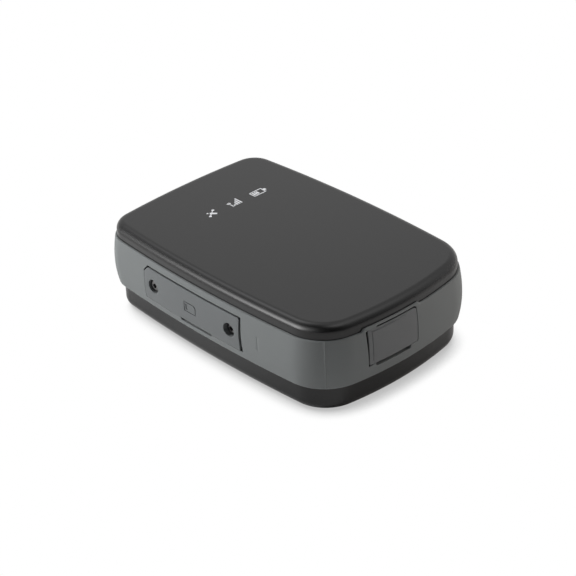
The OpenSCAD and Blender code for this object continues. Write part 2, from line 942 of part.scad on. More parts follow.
module door_screw(x) {
  color([0.5, 0.5, 0.52])
    difference() {
      union() {
        rod_y(x, door_seat_y - door_screw_head_h, door_seat_y, door_screw_z, door_screw_head_r);
        rod_y(x, door_seat_y - lap, door_tip_y, door_screw_z, door_screw_r);
      }
      translate([x, door_seat_y - door_screw_head_h + door_drive_d, door_screw_z])
        rotate([90, 0, 0])
          cylinder(r = door_drive_r, h = door_drive_d + over, $fn = 6);
    }
}

module sim_screw_left() {
  door_screw(door_screw_x[0]);
}

module sim_screw_right() {
  door_screw(door_screw_x[1]);
}

module door_inserts() {
  color([0.75, 0.6, 0.3])
    for (x = door_screw_x)
      difference() {
        rod_y(x, door_tip_y - door_insert_l, door_tip_y, door_screw_z, door_insert_r);
        rod_y(x, door_tip_y - door_insert_l - over, door_tip_y + over, door_screw_z, door_screw_r + fit_gap);
      }
}

// Card and the socket that holds it
module sim_socket() {
  x0 = card_x - card_socket_w / 2;
  x1 = card_x + card_socket_w / 2;
  color([0.75, 0.75, 0.77])
    difference() {
      box_between([x0, board_y0, board_top_z], [x1, card_socket_y1, board_top_z + card_socket_h]);
      box_between(
        [card_x - card_w / 2 - card_room, board_y0 - over, card_z - card_room],
        [card_x + card_w / 2 + card_room, card_y0 + card_l + card_room, card_z + card_t + card_room]
      );
      box_between(
        [card_x - card_w * card_window_share / 2, board_y0 + card_notch, card_z],
        [card_x + card_w * card_window_share / 2, card_y0 + card_l - card_notch, board_top_z + card_socket_h + over]
      );
    }
}

module sim_card() {
  color([0.9, 0.9, 0.88])
    translate([card_x, card_y0, card_z])
      linear_extrude(card_t)
        polygon([
          [-card_w / 2, 0],
          [card_w / 2, 0],
          [card_w / 2, card_l],
          [card_notch - card_w / 2, card_l],
          [-card_w / 2, card_l - card_notch]
        ]);
}

// Socket flap and its plug
module usb_flap() {
  plug_y0 = -usb_shift - socket_way_w / 2 + plug_far_gap;
  plug_y1 = -usb_shift + socket_way_w / 2 - plug_near_gap;
  plug_h = socket_way_h - 2 * plug_rise_gap;
  color([0.36, 0.37, 0.38])
    union() {
      intersection() {
        front_sweep()
          band_face(flap_t, band_bottom_z, band_top_z);
        along_x(front_corner.x, half_l + over)
          translate([-flap_shift, (flap_bottom_z + flap_top_z) / 2])
            round_rect(flap_w, flap_top_z - flap_bottom_z, flap_round);
      }
      along_x(front_x(usb_shift, seat_in + plug_depth), front_x(usb_shift, flap_t / 2))
        translate([(plug_y0 + plug_y1) / 2, usb_mid_z])
          difference() {
            round_rect(plug_y1 - plug_y0, plug_h, plug_round);
            round_rect(plug_y1 - plug_y0 - 2 * plug_wall, plug_h - 2 * plug_wall, plug_round / 2);
          }
    }
}

// Charging socket, a drawn shell with a tongue inside
module usb_shape(wall) {
  w = usb_w / 2 - wall;
  h = usb_h / 2 - wall;
  c = usb_chamfer;
  polygon([[-w, h], [w, h], [w, c - h], [w - c, -h], [c - w, -h], [-w, c - h]]);
}

module usb_socket() {
  color([0.78, 0.78, 0.8])
    union() {
      difference() {
        along_x(usb_x0, usb_x1)
          translate([-usb_shift, usb_mid_z])
            usb_shape(0);
        along_x(usb_x0 + usb_wall * 2, usb_x1 + over)
          translate([-usb_shift, usb_mid_z])
            usb_shape(usb_wall);
      }
      along_x(usb_x0 + usb_wall, usb_x1 - usb_tongue_back)
        translate([-usb_shift, usb_mid_z])
          square([usb_w * usb_tongue_w_share, usb_tongue_t], center = true);
    }
}

// Power switch and its knob
module power_switch() {
  y0 = -switch_shift - switch_w / 2;
  color([0.3, 0.3, 0.32])
    difference() {
      box_between([switch_x1 - switch_l, y0, board_top_z], [switch_x1, y0 + switch_w, board_top_z + switch_h]);
      box_between(
        [switch_x1 - switch_slot_d, knob_rest_y - knob_w / 2 - move_gap, switch_mid_z - knob_h / 2 - knob_back_gap],
        [switch_x1 + over, knob_rest_y + switch_travel + knob_w / 2 + move_gap, switch_mid_z + knob_h / 2 + knob_back_gap]
      );
    }
}

module power_knob() {
  color([0.85, 0.85, 0.83])
    box_between(
      [switch_x1 - switch_slot_d + knob_back_gap, knob_rest_y - knob_w / 2, switch_mid_z - knob_h / 2],
      [front_x(switch_shift + switch_travel, seat_in + move_gap), knob_rest_y + knob_w / 2, switch_mid_z + knob_h / 2]
    );
}

// Main board, cut back round the corner posts
module main_board() {
  color([0.1, 0.35, 0.2])
    difference() {
      intersection() {
        translate([0, 0, board_z])
          linear_extrude(board_t)
            polygon(plan_points(inner_in + assembly_gap));
        box_between([board_x0, board_y0, 0], [board_x1, board_y1, case_h]);
      }
      at_posts()
        rod_z(0, 0, 0, case_h, post_r + assembly_gap);
      for (x = stand_x, s = [-1, 1])
        rod_z(x, s * stand_y, 0, case_h, board_screw_r + fit_gap);
    }
}

module board_screws() {
  color([0.7, 0.7, 0.72])
    for (x = stand_x, s = [-1, 1])
      difference() {
        union() {
          rod_z(x, s * stand_y, board_top_z, board_top_z + board_screw_head_h, board_screw_head_r);
          rod_z(x, s * stand_y, board_top_z - board_screw_l, board_top_z + lap, board_screw_r);
        }
        translate([x, s * stand_y, board_top_z + board_screw_head_h - door_drive_d])
          cylinder(r = door_drive_r, h = door_drive_d + over, $fn = 6);
      }
}

// Chips, each standing on the board
module board_chips() {
  color([0.08, 0.08, 0.08])
    for (i = [0 : len(chip_rooms) - 1], c = chip_shares[i])
      let (room = chip_rooms[i], l = room[1] - room[0], w = room[3] - room[2])
        translate([room[0] + l * c[0], room[2] + w * c[1], board_top_z + c[4] * chip_h / 2])
          cube([l * c[2], w * c[3], c[4] * chip_h], center = true);
}

// Rows of small capacitors and resistors
module board_passives() {
  color([0.7, 0.6, 0.5])
    for (row = [0 : passive_rows - 1], i = [0 : passive_count - 1])
      translate([
        passive_x0 + i * passive_pitch,
        passive_y0 + row * passive_row_pitch,
        board_top_z
      ])
        cube([passive_w, passive_l, passive_h]);
}

// Shield can with a grid of small holes, open underneath
module shield_can(x0, y0, l, w, h) {
  nx = floor((l - can_hole_pitch) / can_hole_pitch);
  ny = floor((w - can_hole_pitch) / can_hole_pitch);
  difference() {
    box_between([x0, y0, board_top_z], [x0 + l, y0 + w, board_top_z + h]);
    box_between([x0 + can_t, y0 + can_t, board_top_z - over], [x0 + l - can_t, y0 + w - can_t, board_top_z + h - can_t]);
    for (i = [0 : 1 : nx - 1], j = [0 : 1 : ny - 1])
      rod_z(
        x0 + l / 2 + (i - (nx - 1) / 2) * can_hole_pitch,
        y0 + w / 2 + (j - (ny - 1) / 2) * can_hole_pitch,
        board_top_z + h / 2, board_top_z + h + over, can_hole_r
      );
  }
}

module modem_can() {
  color([0.8, 0.8, 0.8])
    shield_can(modem_x0, modem_y0, modem_l, modem_w, modem_h);
}

module gnss_can() {
  color([0.8, 0.8, 0.8])
    shield_can(board_x1 - part_gap - gnss_l, gnss_y0, gnss_l, gnss_w, gnss_h);
}

// Battery: a rounded cell and a lower step that covers its circuit
module battery_pack() {
  color([0.55, 0.6, 0.68])
    translate([0, 0, battery_z])
      union() {
        translate([battery_x + battery_step_l / 2, 0])
          linear_extrude(battery_t)
            round_rect(battery_l - battery_step_l, battery_w, battery_round);
        translate([battery_x0 + battery_step_l / 2 + lap, 0])
          linear_extrude(battery_t * battery_step_h_share)
            square([battery_step_l + 2 * lap, battery_w - 2 * battery_round], center = true);
      }
}

module battery_pad() {
  color([0.25, 0.25, 0.27])
    translate([battery_x + battery_step_l / 2, 0, floor_t])
      linear_extrude(pad_t)
        round_rect(battery_l - 2 * battery_step_l, battery_w - battery_step_l, battery_round);
}

// Battery plug and header
module battery_socket() {
  w = plug_w + 2 * (header_wall + header_gap);
  h = lead_rise + plug_h / 2 + header_gap + header_wall;
  color([0.88, 0.86, 0.8])
    difference() {
      box_between([header_x0, -w / 2, board_top_z], [header_x0 + header_l, w / 2, board_top_z + h]);
      box_between(
        [header_x0 - over, -plug_w / 2 - header_gap, lead_end_z - plug_h / 2 - header_gap],
        [header_x0 + header_l - header_back, plug_w / 2 + header_gap, lead_end_z + plug_h / 2 + header_gap]
      );
    }
}

module battery_plug() {
  color([0.92, 0.92, 0.9])
    box_between([plug_x0, -plug_w / 2, lead_end_z - plug_h / 2], [plug_x0 + plug_l, plug_w / 2, lead_end_z + plug_h / 2]);
}

// One lead: back from the battery, up past the end of the board, and forward
// into the plug
module lead_elbow() {
  rotate([90, 0, 0])
    rotate_extrude(angle = 90, $fn = bend_fn)
      translate([lead_bend_r, 0])
        circle(lead_r);
}

module battery_lead(y) {
  elbow_x = lead_x + lead_bend_r;
  translate([elbow_x, y, lead_start_z])
    rotate([0, 90, 0])
      cylinder(r = lead_r, h = battery_x0 - elbow_x);
  translate([elbow_x, y, lead_start_z + lead_bend_r])
    mirror([1, 0, 0])
      mirror([0, 0, 1])
        lead_elbow();
  rod_z(lead_x, y, lead_start_z + lead_bend_r, lead_end_z - lead_bend_r, lead_r);
  translate([elbow_x, y, lead_end_z - lead_bend_r])
    mirror([1, 0, 0])
      lead_elbow();
  translate([elbow_x, y, lead_end_z])
    rotate([0, 90, 0])
      cylinder(r = lead_r, h = plug_x0 - elbow_x);
}

module battery_lead_plus() {
  color([0.75, 0.1, 0.1])
    battery_lead(lead_pitch / 2);
}

module battery_lead_minus() {
  color([0.06, 0.06, 0.06])
    battery_lead(-lead_pitch / 2);
}

// Ceramic antenna with its silver face and feed pin
module gnss_antenna() {
  color([0.82, 0.78, 0.7])
    box_between([patch_x0, -patch_side / 2, board_top_z], [patch_x1, patch_side / 2, board_top_z + patch_h]);
}

module gnss_patch() {
  s = patch_side * patch_face_share;
  z = board_top_z + patch_h;
  color([0.85, 0.85, 0.87])
    union() {
      translate([patch_x0 + patch_side / 2, 0, z])
        linear_extrude(patch_face_t)
          difference() {
            square(s, center = true);
            for (t = [-1, 1])
              translate([t * s / 2, -t * s / 2])
                rotate(45)
                  square(patch_pin_r * 2, center = true);
          }
      rod_z(patch_x0 + patch_side / 2 + s * patch_pin_share, 0, z, z + patch_pin_h, patch_pin_r);
    }
}

// Cellular antenna: a hollow plastic carrier with slotted metal over it
module antenna_carrier() {
  bay = (cell_l - cell_wall) / cell_bays;
  color([0.12, 0.12, 0.13])
    difference() {
      box_between([cell_x0, cell_y0, board_top_z], [cell_x1, board_y1, cell_top_z]);
      for (i = [0 : cell_bays - 1])
        box_between(
          [cell_x0 + cell_wall + i * bay, cell_y0 - over, board_top_z + cell_wall],
          [cell_x0 + (i + 1) * bay, board_y1 - cell_wall, cell_top_z - cell_wall]
        );
    }
}

module antenna_trace() {
  pitch = cell_l / (trace_slots + 1);
  reach = cell_w * trace_reach_share;
  color([0.8, 0.65, 0.35])
    union() {
      difference() {
        box_between([cell_x0, cell_y0, cell_top_z], [cell_x1, board_y1 + trace_t, cell_top_z + trace_t]);
        for (i = [1 : trace_slots])
          translate([cell_x0 + i * pitch - pitch * trace_slot_share / 2, (i % 2 == 0 ? cell_y0 - over : board_y1 + trace_t - reach), cell_top_z - over])
            cube([pitch * trace_slot_share, reach + over, trace_t + 2 * over]);
      }
      for (i = [0, trace_slots])
        box_between(
          [cell_x0 + (i + trace_slot_share) * pitch, board_y1, board_top_z],
          [cell_x0 + (i + 1 - trace_slot_share) * pitch, board_y1 + trace_t, cell_top_z + trace_t]
        );
    }
}

// Status lights and the guide that leads their light to the lid
module status_leds() {
  color([0.95, 0.95, 0.85])
    for (i = [-1 : 1])
      translate([light_x, light_shift + i * light_pitch, board_top_z + led_h / 2])
        cube([led_l, led_w, led_h], center = true);
}

module light_guide() {
  reach = light_pitch + guide_bar_end;
  color([0.9, 0.92, 0.95])
    union() {
      box_between(
        [light_x - guide_bar_w / 2, light_shift - reach, lid_under_z - guide_bar_t],
        [light_x + guide_bar_w / 2, light_shift + reach, lid_under_z]
      );
      for (i = [-1 : 1])
        rod_z(light_x, light_shift + i * light_pitch, board_top_z + led_h + guide_gap, lid_under_z - guide_bar_t + lap,
          light_d / 2);
    }
}

top_cover();
bottom_case();
bumper_band();
case_gasket();
case_screws();
cover_inserts();
sim_door();
sim_door_seal();
sim_screw_left();
sim_screw_right();
door_inserts();
sim_socket();
sim_card();
usb_flap();
usb_socket();
power_switch();
power_knob();
main_board();
board_screws();
board_chips();
board_passives();
modem_can();
gnss_can();
battery_pack();
battery_pad();
battery_socket();
battery_plug();
battery_lead_plus();
battery_lead_minus();
gnss_antenna();
gnss_patch();
antenna_carrier();
antenna_trace();
status_leds();
light_guide();
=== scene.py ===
"""Pocket gps tracker: a black lid and tub with a grey rubber band all round.

X runs along the length with the socket end at +X, Y across the width with the card door at -Y,
and Z up. All lengths are metres. The shells, the band, the door, the flap and the screws are
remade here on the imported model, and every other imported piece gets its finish.
"""

import math

import bmesh
import bpy
from mathutils import Matrix, Vector
from mathutils.geometry import delaunay_2d_cdt


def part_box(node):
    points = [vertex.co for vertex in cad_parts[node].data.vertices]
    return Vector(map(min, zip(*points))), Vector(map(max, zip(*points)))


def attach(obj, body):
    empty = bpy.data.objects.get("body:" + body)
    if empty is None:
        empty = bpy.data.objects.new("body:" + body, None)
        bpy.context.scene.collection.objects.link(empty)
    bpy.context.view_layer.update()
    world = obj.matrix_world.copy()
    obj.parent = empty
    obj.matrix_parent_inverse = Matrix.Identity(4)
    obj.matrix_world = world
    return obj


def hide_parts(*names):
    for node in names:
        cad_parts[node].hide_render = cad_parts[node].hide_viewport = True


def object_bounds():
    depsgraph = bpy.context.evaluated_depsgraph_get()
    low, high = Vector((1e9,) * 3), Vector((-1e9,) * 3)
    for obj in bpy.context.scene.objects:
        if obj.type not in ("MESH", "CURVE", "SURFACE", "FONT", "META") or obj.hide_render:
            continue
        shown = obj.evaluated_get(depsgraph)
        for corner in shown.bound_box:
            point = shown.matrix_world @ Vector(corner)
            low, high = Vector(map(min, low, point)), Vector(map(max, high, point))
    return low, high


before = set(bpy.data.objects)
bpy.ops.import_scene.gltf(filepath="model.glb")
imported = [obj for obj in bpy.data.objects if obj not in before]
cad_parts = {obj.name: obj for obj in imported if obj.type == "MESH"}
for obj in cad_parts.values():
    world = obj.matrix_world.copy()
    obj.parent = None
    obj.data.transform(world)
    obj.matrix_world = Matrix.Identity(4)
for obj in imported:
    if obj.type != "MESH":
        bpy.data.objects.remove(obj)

bl_info = {
    "name": "Pocket GPS tracker",
    "version": (1, 0, 0),
    "blender": (4, 5, 0),
    "location": "3D View > Sidebar > Tracker",
    "description": "Builds a small tracker with a rubber band round a black case",
    "category": "Add Mesh",
}

MM = 0.001
CASE_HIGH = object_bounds()[1]

# Points closer than this are one point
MERGE = 2e-7
# Faces that meet at a steeper angle than this keep a hard edge
SHARP = math.radians(32)
# How far apart the points of a swept shell lie at most, by length and by angle
SHELL_STEP = 1.6 * MM
SHELL_TURN = math.radians(3)
# The same by length on the outlines of the windows, and of the door and the flap
WINDOW_STEP = 1.2 * MM
PANEL_STEP = 1.1 * MM
# Steps of a small rounded edge
EDGE_STEPS = 4
# Clearance from the band to the ledges of both shells
LEDGE_GAP = 0.05 * MM
# How far the fingernail slot of the door reaches up into the door
NAIL_BITE = 0.18 * MM
# Where the mould seam runs, as a share of the near corner's arc
SEAM_SHARE = 0.545
# Below this height the lip leaves the band as it is, and it takes this much height to step in
LIP_ROOT = 21.4 * MM
LIP_CLIMB = 1.1 * MM
# Heights of the rows of points on the band, in millimetres over its lower edge
BAND_ROWS = (0.6, 1.4, 2.4, 3.6, 5, 5.5, 5.8, 6.3, 7.5, 8.7, 9.2, 9.5, 10, 11.2, 12.3, 13, 13.4,
             13.8, 14.2, 14.5)
# How far the socket of each door screw is turned, in degrees
DRIVE_TURNS = {"left": 18, "right": 52}
# The same for the first case screw, and from one case screw to the next
CASE_TURN = 25
CASE_TURN_STEP = 31
# Top of a screw's head: share of the head's radius, and depth as a share of its dome
HEAD_DOME = ((0.02, 0), (0.2, 0.02), (0.4, 0.08), (0.6, 0.18), (0.8, 0.42), (0.92, 0.75), (1, 1.6))
# Foot of that head: share of its radius, and depth as a share of its height
HEAD_FOOT = ((1, 0.92), (0.96, 1))
# Share of the head's height that its dome takes up
DOME_SHARE = 0.13
# The groove on the flap ends at this share of the flap's width, and fades this fast before it
GROOVE_END = 1.15
GROOVE_FADE = 1.5

# Indices of arcs of the plan
NEAR_SIDE, NEAR_CORNER, SOCKET_END = 4, 5, 6

# Width of the camera's sensor in millimetres, and how far its picture is shifted
SENSOR = 36
CAMERA_SHIFT = (-0.0022, -0.01635)
# Each lamp: its name, the setting with its power, direction, width and tint
LAMPS = (
    ("key", "key", (-0.82, -0.56, 0.4), 0.45, (1, 1, 1)),
    ("fill", "fill", (0.3, 0.93, 0.3), 0.5, (1, 0.93, 0.88)),
    ("overhead", "top", (0.0, 0.1, 1.0), 0.7, (1, 1, 1)),
    ("behind", "back", (-0.45, 0.8, 0.5), 0.6, (1, 1, 1)),
)
# Openness at which the soft shadow on the floor starts and ends, and its darkest and lightest
SHADOW_FROM_TO = (0.25, 0.7)
SHADOW_LEVELS = (0.5, 1.0)
# The direction from which the soft shadow on the floor is gathered
SHADOW_LEAN = {"X": -0.33, "Y": 0.05, "Z": 0.94}
# Glows on the floor that only reflections see: place, inner and outer radius, and strength
GLOWS = (
    ((-8, -66, 0), 15, 55, 0.36),
    ((-58, -50, 0), 8, 35, 0.36),
    ((80, 42, 0), 15, 55, 0.3),
)
# Light that comes from all round
WORLD_LIGHT = 0.16
# In reflections, brightness of the wall and of the room, and where one turns into the other
WALL = 0.8
ROOM = 0.04
ROOM_FROM = -0.25
ROOM_TO = 0.35
# Soft boxes that only reflections see: direction, sharpness and strength
SOFT_BOXES = (
    ((-0.40, -0.90, 0.18), 22, 12.0),
    ((-0.52, -0.04, 0.85), 40, 2.3),
    ((0.38, -0.03, 0.92), 45, 1.6),
    ((0.80, 0.45, 0.35), 8, 0.3),
    ((-0.70, 0.63, 0.34), 40, 0.4),
    ((0.40, 0.30, 0.86), 12, 1.1),
    ((0.02, -0.92, 0.38), 14, 2.0),
)

# Ends the name of each material made here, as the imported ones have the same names
OWN = "_look"
# Reach of the painted shade in small gaps, the openness at which it is full and gone, and its dark
# tone
PAINTED_SHADE_REACH = 1.5 * MM
PAINTED_SHADE_FROM_TO = (0.2, 0.46)
PAINTED_SHADE_TONE = 0.1
# Roughness of the satin shells, and of the matt band and flap
SATIN = 0.22
MATT = 0.78


# Sizes and colours that a user can change

def length(name, description, millimetres):
    return bpy.props.FloatProperty(
        name=name, description=description, default=millimetres * MM, unit="LENGTH", precision=5)


def angle(name, description, degrees):
    return bpy.props.FloatProperty(
        name=name, description=description, default=math.radians(degrees), unit="ROTATION")


def power(name, description, watts):
    return bpy.props.FloatProperty(
        name=name, description=description, default=watts, min=0, unit="POWER")


def colour(name, description, red, green, blue):
    return bpy.props.FloatVectorProperty(
        name=name, description=description, default=(red, green, blue), size=3, min=0, max=1,
        subtype="COLOR")


class CaseSizes(bpy.types.PropertyGroup):
    long: length("Length", "Overall length over the band", 2 * CASE_HIGH.x / MM)
    wide: length("Width", "Overall width over the band", 2 * CASE_HIGH.y / MM)
    high: length("Height", "Overall height", CASE_HIGH.z / MM)
    side_curve: length("Side curve", "Radius of the slow curve along each long side", 430)
    front_curve: length("Socket end curve", "Radius of the curve across the socket end", 106.6)
    rear_curve: length("Icon end curve", "Radius of the curve across the icon end", 257)
    front_corner: length("Socket end corner", "Corner radius at the socket end", 13.8)
    rear_corner: length("Icon end corner", "Corner radius at the icon end", 8.4)
    lid_step: length("Lid step", "From the crown of the band in to the wall of the lid", 1.28)
    tub_step: length("Tub step", "From the crown of the band in to the wall of the tub", 2.22)
    lid_round: length("Lid rounding", "Radius of the upper edge of the lid", 2.5)
    tub_round: length("Tub rounding", "Radius of the lower edge of the tub", 2.9)
    wall: length("Wall", "Wall of both shells behind the band", 1.8)
    skin: length("Lid and floor", "Thickness of the flat of the lid and of the floor", 2)
    inner_round: length("Inner rounding", "Radius of the inner edges of both shells", 1)
    seat: length("Band seat", "From the crown of the band in to the shells behind it", 2.85)
    rim: length("Rim", "Height at which the lid and the tub meet", 22.3)
    post: length("Corner posts", "Radius of the posts that hold the case screws", 3.2)
    post_top: length("Post height", "Height of the corner posts", 13.2)
    screw_recess: length("Screw recess", "Radius of the recess round a case screw", 2.45)
    screw_seat: length("Screw seat", "Height at which the head of a case screw seats", 2.5)


class BandSizes(bpy.types.PropertyGroup):
    bottom: length("Lower edge", "Height of the lower edge of the band", 8.1)
    top: length("Upper edge", "Height of the upper edge of the band", 22.8)
    crown: length("Crown", "Height at which the band bulges furthest", 15)
    top_drop: length("Upper drop", "How far the upper edge lies inside the crown", 0.77)
    bottom_drop: length("Lower drop", "How far the lower edge lies inside the crown", 0.88)
    thick: length("Thickness", "Thickness of the band at its crown", 2.8)
    edge: length("Edge rounding", "Radius of the upper and lower edges", 0.3)
    dent: length("Dent", "Place along the case of the upright dent beside the door", 20.25)
    dent_low: length("Dent low end", "Height of the lower end of that dent", 13.9)
    dent_high: length("Dent high end", "Height of the upper end of that dent", 17.9)
    dent_wide: length("Dent width", "Half width of that dent", 0.25)
    dent_deep: length("Dent depth", "Depth of that dent", 0.1)
    window_edge: length("Window rounding", "Radius of the edges of the two windows", 0.07)
    lip_rise: length("Lip rise", "Height of the raised lip over the flap", 0.8)
    lip_step: length("Lip step", "From the crown in to the outer face of the lip", 0.62)
    lip_back: length("Lip back", "From the crown in to the back of the lip", 1.23)
    lip_from: length("Lip start", "Place across the width at which the lip starts", -16.2)
    lip_to: length("Lip end", "Place across the width at which the lip ends", 4.7)
    seam_rise: length("Mould seam", "Height of the mould seam on the near corner", 0.14)
    seam_wide: length("Mould seam width", "Half width of the mould seam", 0.17)


class DoorSizes(bpy.types.PropertyGroup):
    left: length("Left edge", "Place of the edge of the door towards the icon end", -25.72)
    right: length("Right edge", "Place of the edge of the door towards the socket end", 13.3)
    bottom: length("Lower edge", "Height of the lower edge of the door", 10.34)
    top: length("Upper edge", "Height of the upper edge of the door", 20.42)
    clip: length("Clipped corner", "Width and height of the clipped corner", 1.5)
    thick: length("Thickness", "Thickness of the door at the crown", 4)
    edge: length("Edge rounding", "Radius of the outer edges of the door", 0.1)
    tight_gap: length("Tight gap", "Gap along the lower and the left edge", 0.03)
    top_gap: length("Upper gap", "Gap along the upper edge", 0.56)
    right_gap: length("Right gap", "Gap at the right edge", 0.7)
    nail_from: length("Nail slot start", "Place of the left end of the fingernail slot", -10.5)
    nail_to: length("Nail slot end", "Place of the right end of the fingernail slot", 1.7)
    nail_high: length("Nail slot height", "Height of the fingernail slot under the door", 0.85)
    screw_left: length("Left screw", "Place of the left screw", -21.7)
    screw_right: length("Right screw", "Place of the right screw", 9.5)
    screw_high: length("Screw height", "Height of both screws", 15.45)
    recess: length("Recess", "Radius of the recess round each screw", 2.02)
    seat: length("Screw seat", "Place of the face that the screw heads seat on", -28.2)
    hole: length("Screw hole", "Radius of the hole for the shank", 1.15)
    mark_from: length("Mark start", "Place of the left edge of the card mark", -8.4)
    mark_wide: length("Mark width", "Width of the card mark", 4.8)
    mark_high: length("Mark height", "Height of the card mark", 3.1)
    mark_line: length("Mark line", "Width of the lines of the card mark", 0.3)
    mark_deep: length("Mark depth", "Depth of the lines of the card mark", 0.2)


class FlapSizes(bpy.types.PropertyGroup):
    left: length("Left edge", "Place of the free edge of the flap", -14.2)
    right: length("Right edge", "Place of the hinged edge of the flap", 2.98)
    bottom: length("Lower edge", "Height of the lower edge of the flap", 12.28)
    top: length("Upper edge", "Height of the upper edge of the flap", 22.64)
    corner: length("Corner", "Radius of the corners of the flap", 0.5)
    top_corner: length("Hinge corner", "Radius of the upper corner at the hinge", 1.2)
    thick: length("Thickness", "Thickness of the flap at the crown", 2.4)
    edge: length("Edge rounding", "Radius of the outer edges of the flap", 0.06)
    left_gap: length("Left gap", "Widest gap at the free edge", 0.7)
    top_gap: length("Upper gap", "Gap along the upper edge", 0.5)
    tight_gap: length("Tight gap", "Gap along the lower and the hinged edge", 0.02)
    nail_from: length("Nail slot start", "Place of the left end of the fingernail slot", -12)
    nail_to: length("Nail slot end", "Place of the right end of the fingernail slot", 0.15)
    nail_high: length("Nail slot height", "Height of the fingernail slot under the flap", 1.05)
    border_left: length("Left border", "Width of the raised border at the free edge", 1.35)
    border_top: length("Upper border", "Width of the raised border along the upper edge", 0.8)
    border_rise: length("Border rise", "Height of the raised border", 0.1)
    groove: length("Groove", "Depth of the groove along the inner side of the border", 0.3)
    groove_wide: length("Groove width", "Half width of that groove", 0.24)
    plug_from: length("Plug start", "Place of the plug towards the door side", -7.5)
    plug_to: length("Plug end", "Place of the plug towards the hinge", 1.5)
    plug_bottom: length("Plug bottom", "Height of the underside of the plug", 14)
    plug_top: length("Plug top", "Height of the upper side of the plug", 19.9)
    plug_wall: length("Plug wall", "Wall of the hollow plug", 1.2)
    plug_in: length("Plug depth", "From the crown in to the end of the plug", 4)


class IconSizes(bpy.types.PropertyGroup):
    row: length("Row", "Place of the row of icons along the case", -24.4)
    middle: length("Middle icon", "Place of the middle icon across the case", 2.8)
    pitch: length("Pitch", "Distance between two icons", 8.4)
    line: length("Line", "Width of the printed lines", 0.3)
    ink: length("Ink", "Thickness of the print", 0.015)


class ScrewSizes(bpy.types.PropertyGroup):
    door_head: length("Door screw head", "Radius of the head of a door screw", 1.62)
    door_head_high: length("Door screw head height", "Height of that head", 1.8)
    door_shank: length("Door screw shank", "Radius over the thread of a door screw", 1)
    door_shank_long: length("Door screw length", "Length of the shank of a door screw", 5.2)
    case_head: length("Case screw head", "Radius of the head of a case screw", 2.2)
    case_head_high: length("Case screw head height", "Height of that head", 1.7)
    case_shank: length("Case screw shank", "Radius over the thread of a case screw", 1.25)
    case_shank_long: length("Case screw length", "Length of the shank of a case screw", 14)
    pitch: length("Thread pitch", "Pitch of the threads", 0.45)
    door_socket: length("Door screw socket", "Radius of the hexagon socket of a door screw", 0.75)
    case_socket: length("Case screw socket", "Radius of the hexagon socket of a case screw", 0.95)
    socket_deep: length("Socket depth", "Depth of the hexagon sockets", 0.9)


class Colours(bpy.types.PropertyGroup):
    shell: colour("Shells", "Black plastic of the lid and the tub", 0.009, 0.009, 0.0092)
    band: colour("Band", "Grey rubber of the band", 0.188, 0.199, 0.200)
    flap: colour("Flap", "Grey rubber of the socket flap", 0.176, 0.182, 0.186)
    door: colour("Door", "Grey rubber of the card door", 0.134, 0.142, 0.145)
    ink: colour("Icons", "White print of the icons", 0.9, 0.92, 0.97)
    steel: colour("Screws", "Dark plated steel of the screws", 0.17, 0.17, 0.175)
    brass: colour("Inserts", "Brass of the threaded inserts", 0.72, 0.52, 0.24)
    board: colour("Board", "Solder mask of the main board", 0.012, 0.09, 0.045)
    floor: colour("Floor", "Pale floor of the stage", 0.8, 0.8, 0.8)


class StageSettings(bpy.types.PropertyGroup):
    azimuth: angle("Azimuth", "Turn of the camera round the tracker", 47.77)
    elevation: angle("Elevation", "Height of the camera above the floor", 31.44)
    roll: angle("Roll", "Roll of the camera", -2.48)
    distance: length("Distance", "From the camera to the point that it looks at", 530.7)
    look_at: length("Look at", "Height of the point that the camera looks at", 13.47)
    lens: length("Lens", "Focal length for a sensor 36 mm wide", 120.347)
    floor: length("Floor", "Half the width of the floor", 1500)
    shadow_reach: length("Shadow reach", "How far the soft shadow on the floor reaches", 9)
    lamp_distance: length("Lamp distance", "From each lamp to the tracker", 900)
    key: power("Key", "Power of the soft key lamp at the left", 9.3)
    fill: power("Fill", "Power of the fill lamp behind at the right", 5.0)
    top: power("Top", "Power of the lamp overhead", 1.4)
    back: power("Back", "Power of the lamp behind", 0.2)


class TrackerSettings(bpy.types.PropertyGroup):
    case: bpy.props.PointerProperty(type=CaseSizes, name="Case")
    band: bpy.props.PointerProperty(type=BandSizes, name="Band")
    door: bpy.props.PointerProperty(type=DoorSizes, name="Card door")
    flap: bpy.props.PointerProperty(type=FlapSizes, name="Socket flap")
    icons: bpy.props.PointerProperty(type=IconSizes, name="Icons")
    screws: bpy.props.PointerProperty(type=ScrewSizes, name="Screws")
    colours: bpy.props.PointerProperty(type=Colours, name="Colours")
    stage: bpy.props.PointerProperty(type=StageSettings, name="Stage")


# Plan of the case

class Arc:
    """One arc of the plan, run counterclockwise from one angle to another."""

    def __init__(self, centre, radius, start, end):
        self.centre = Vector(centre)
        self.radius = radius
        self.start = start
        self.turn = end - start
        self.long = radius * self.turn


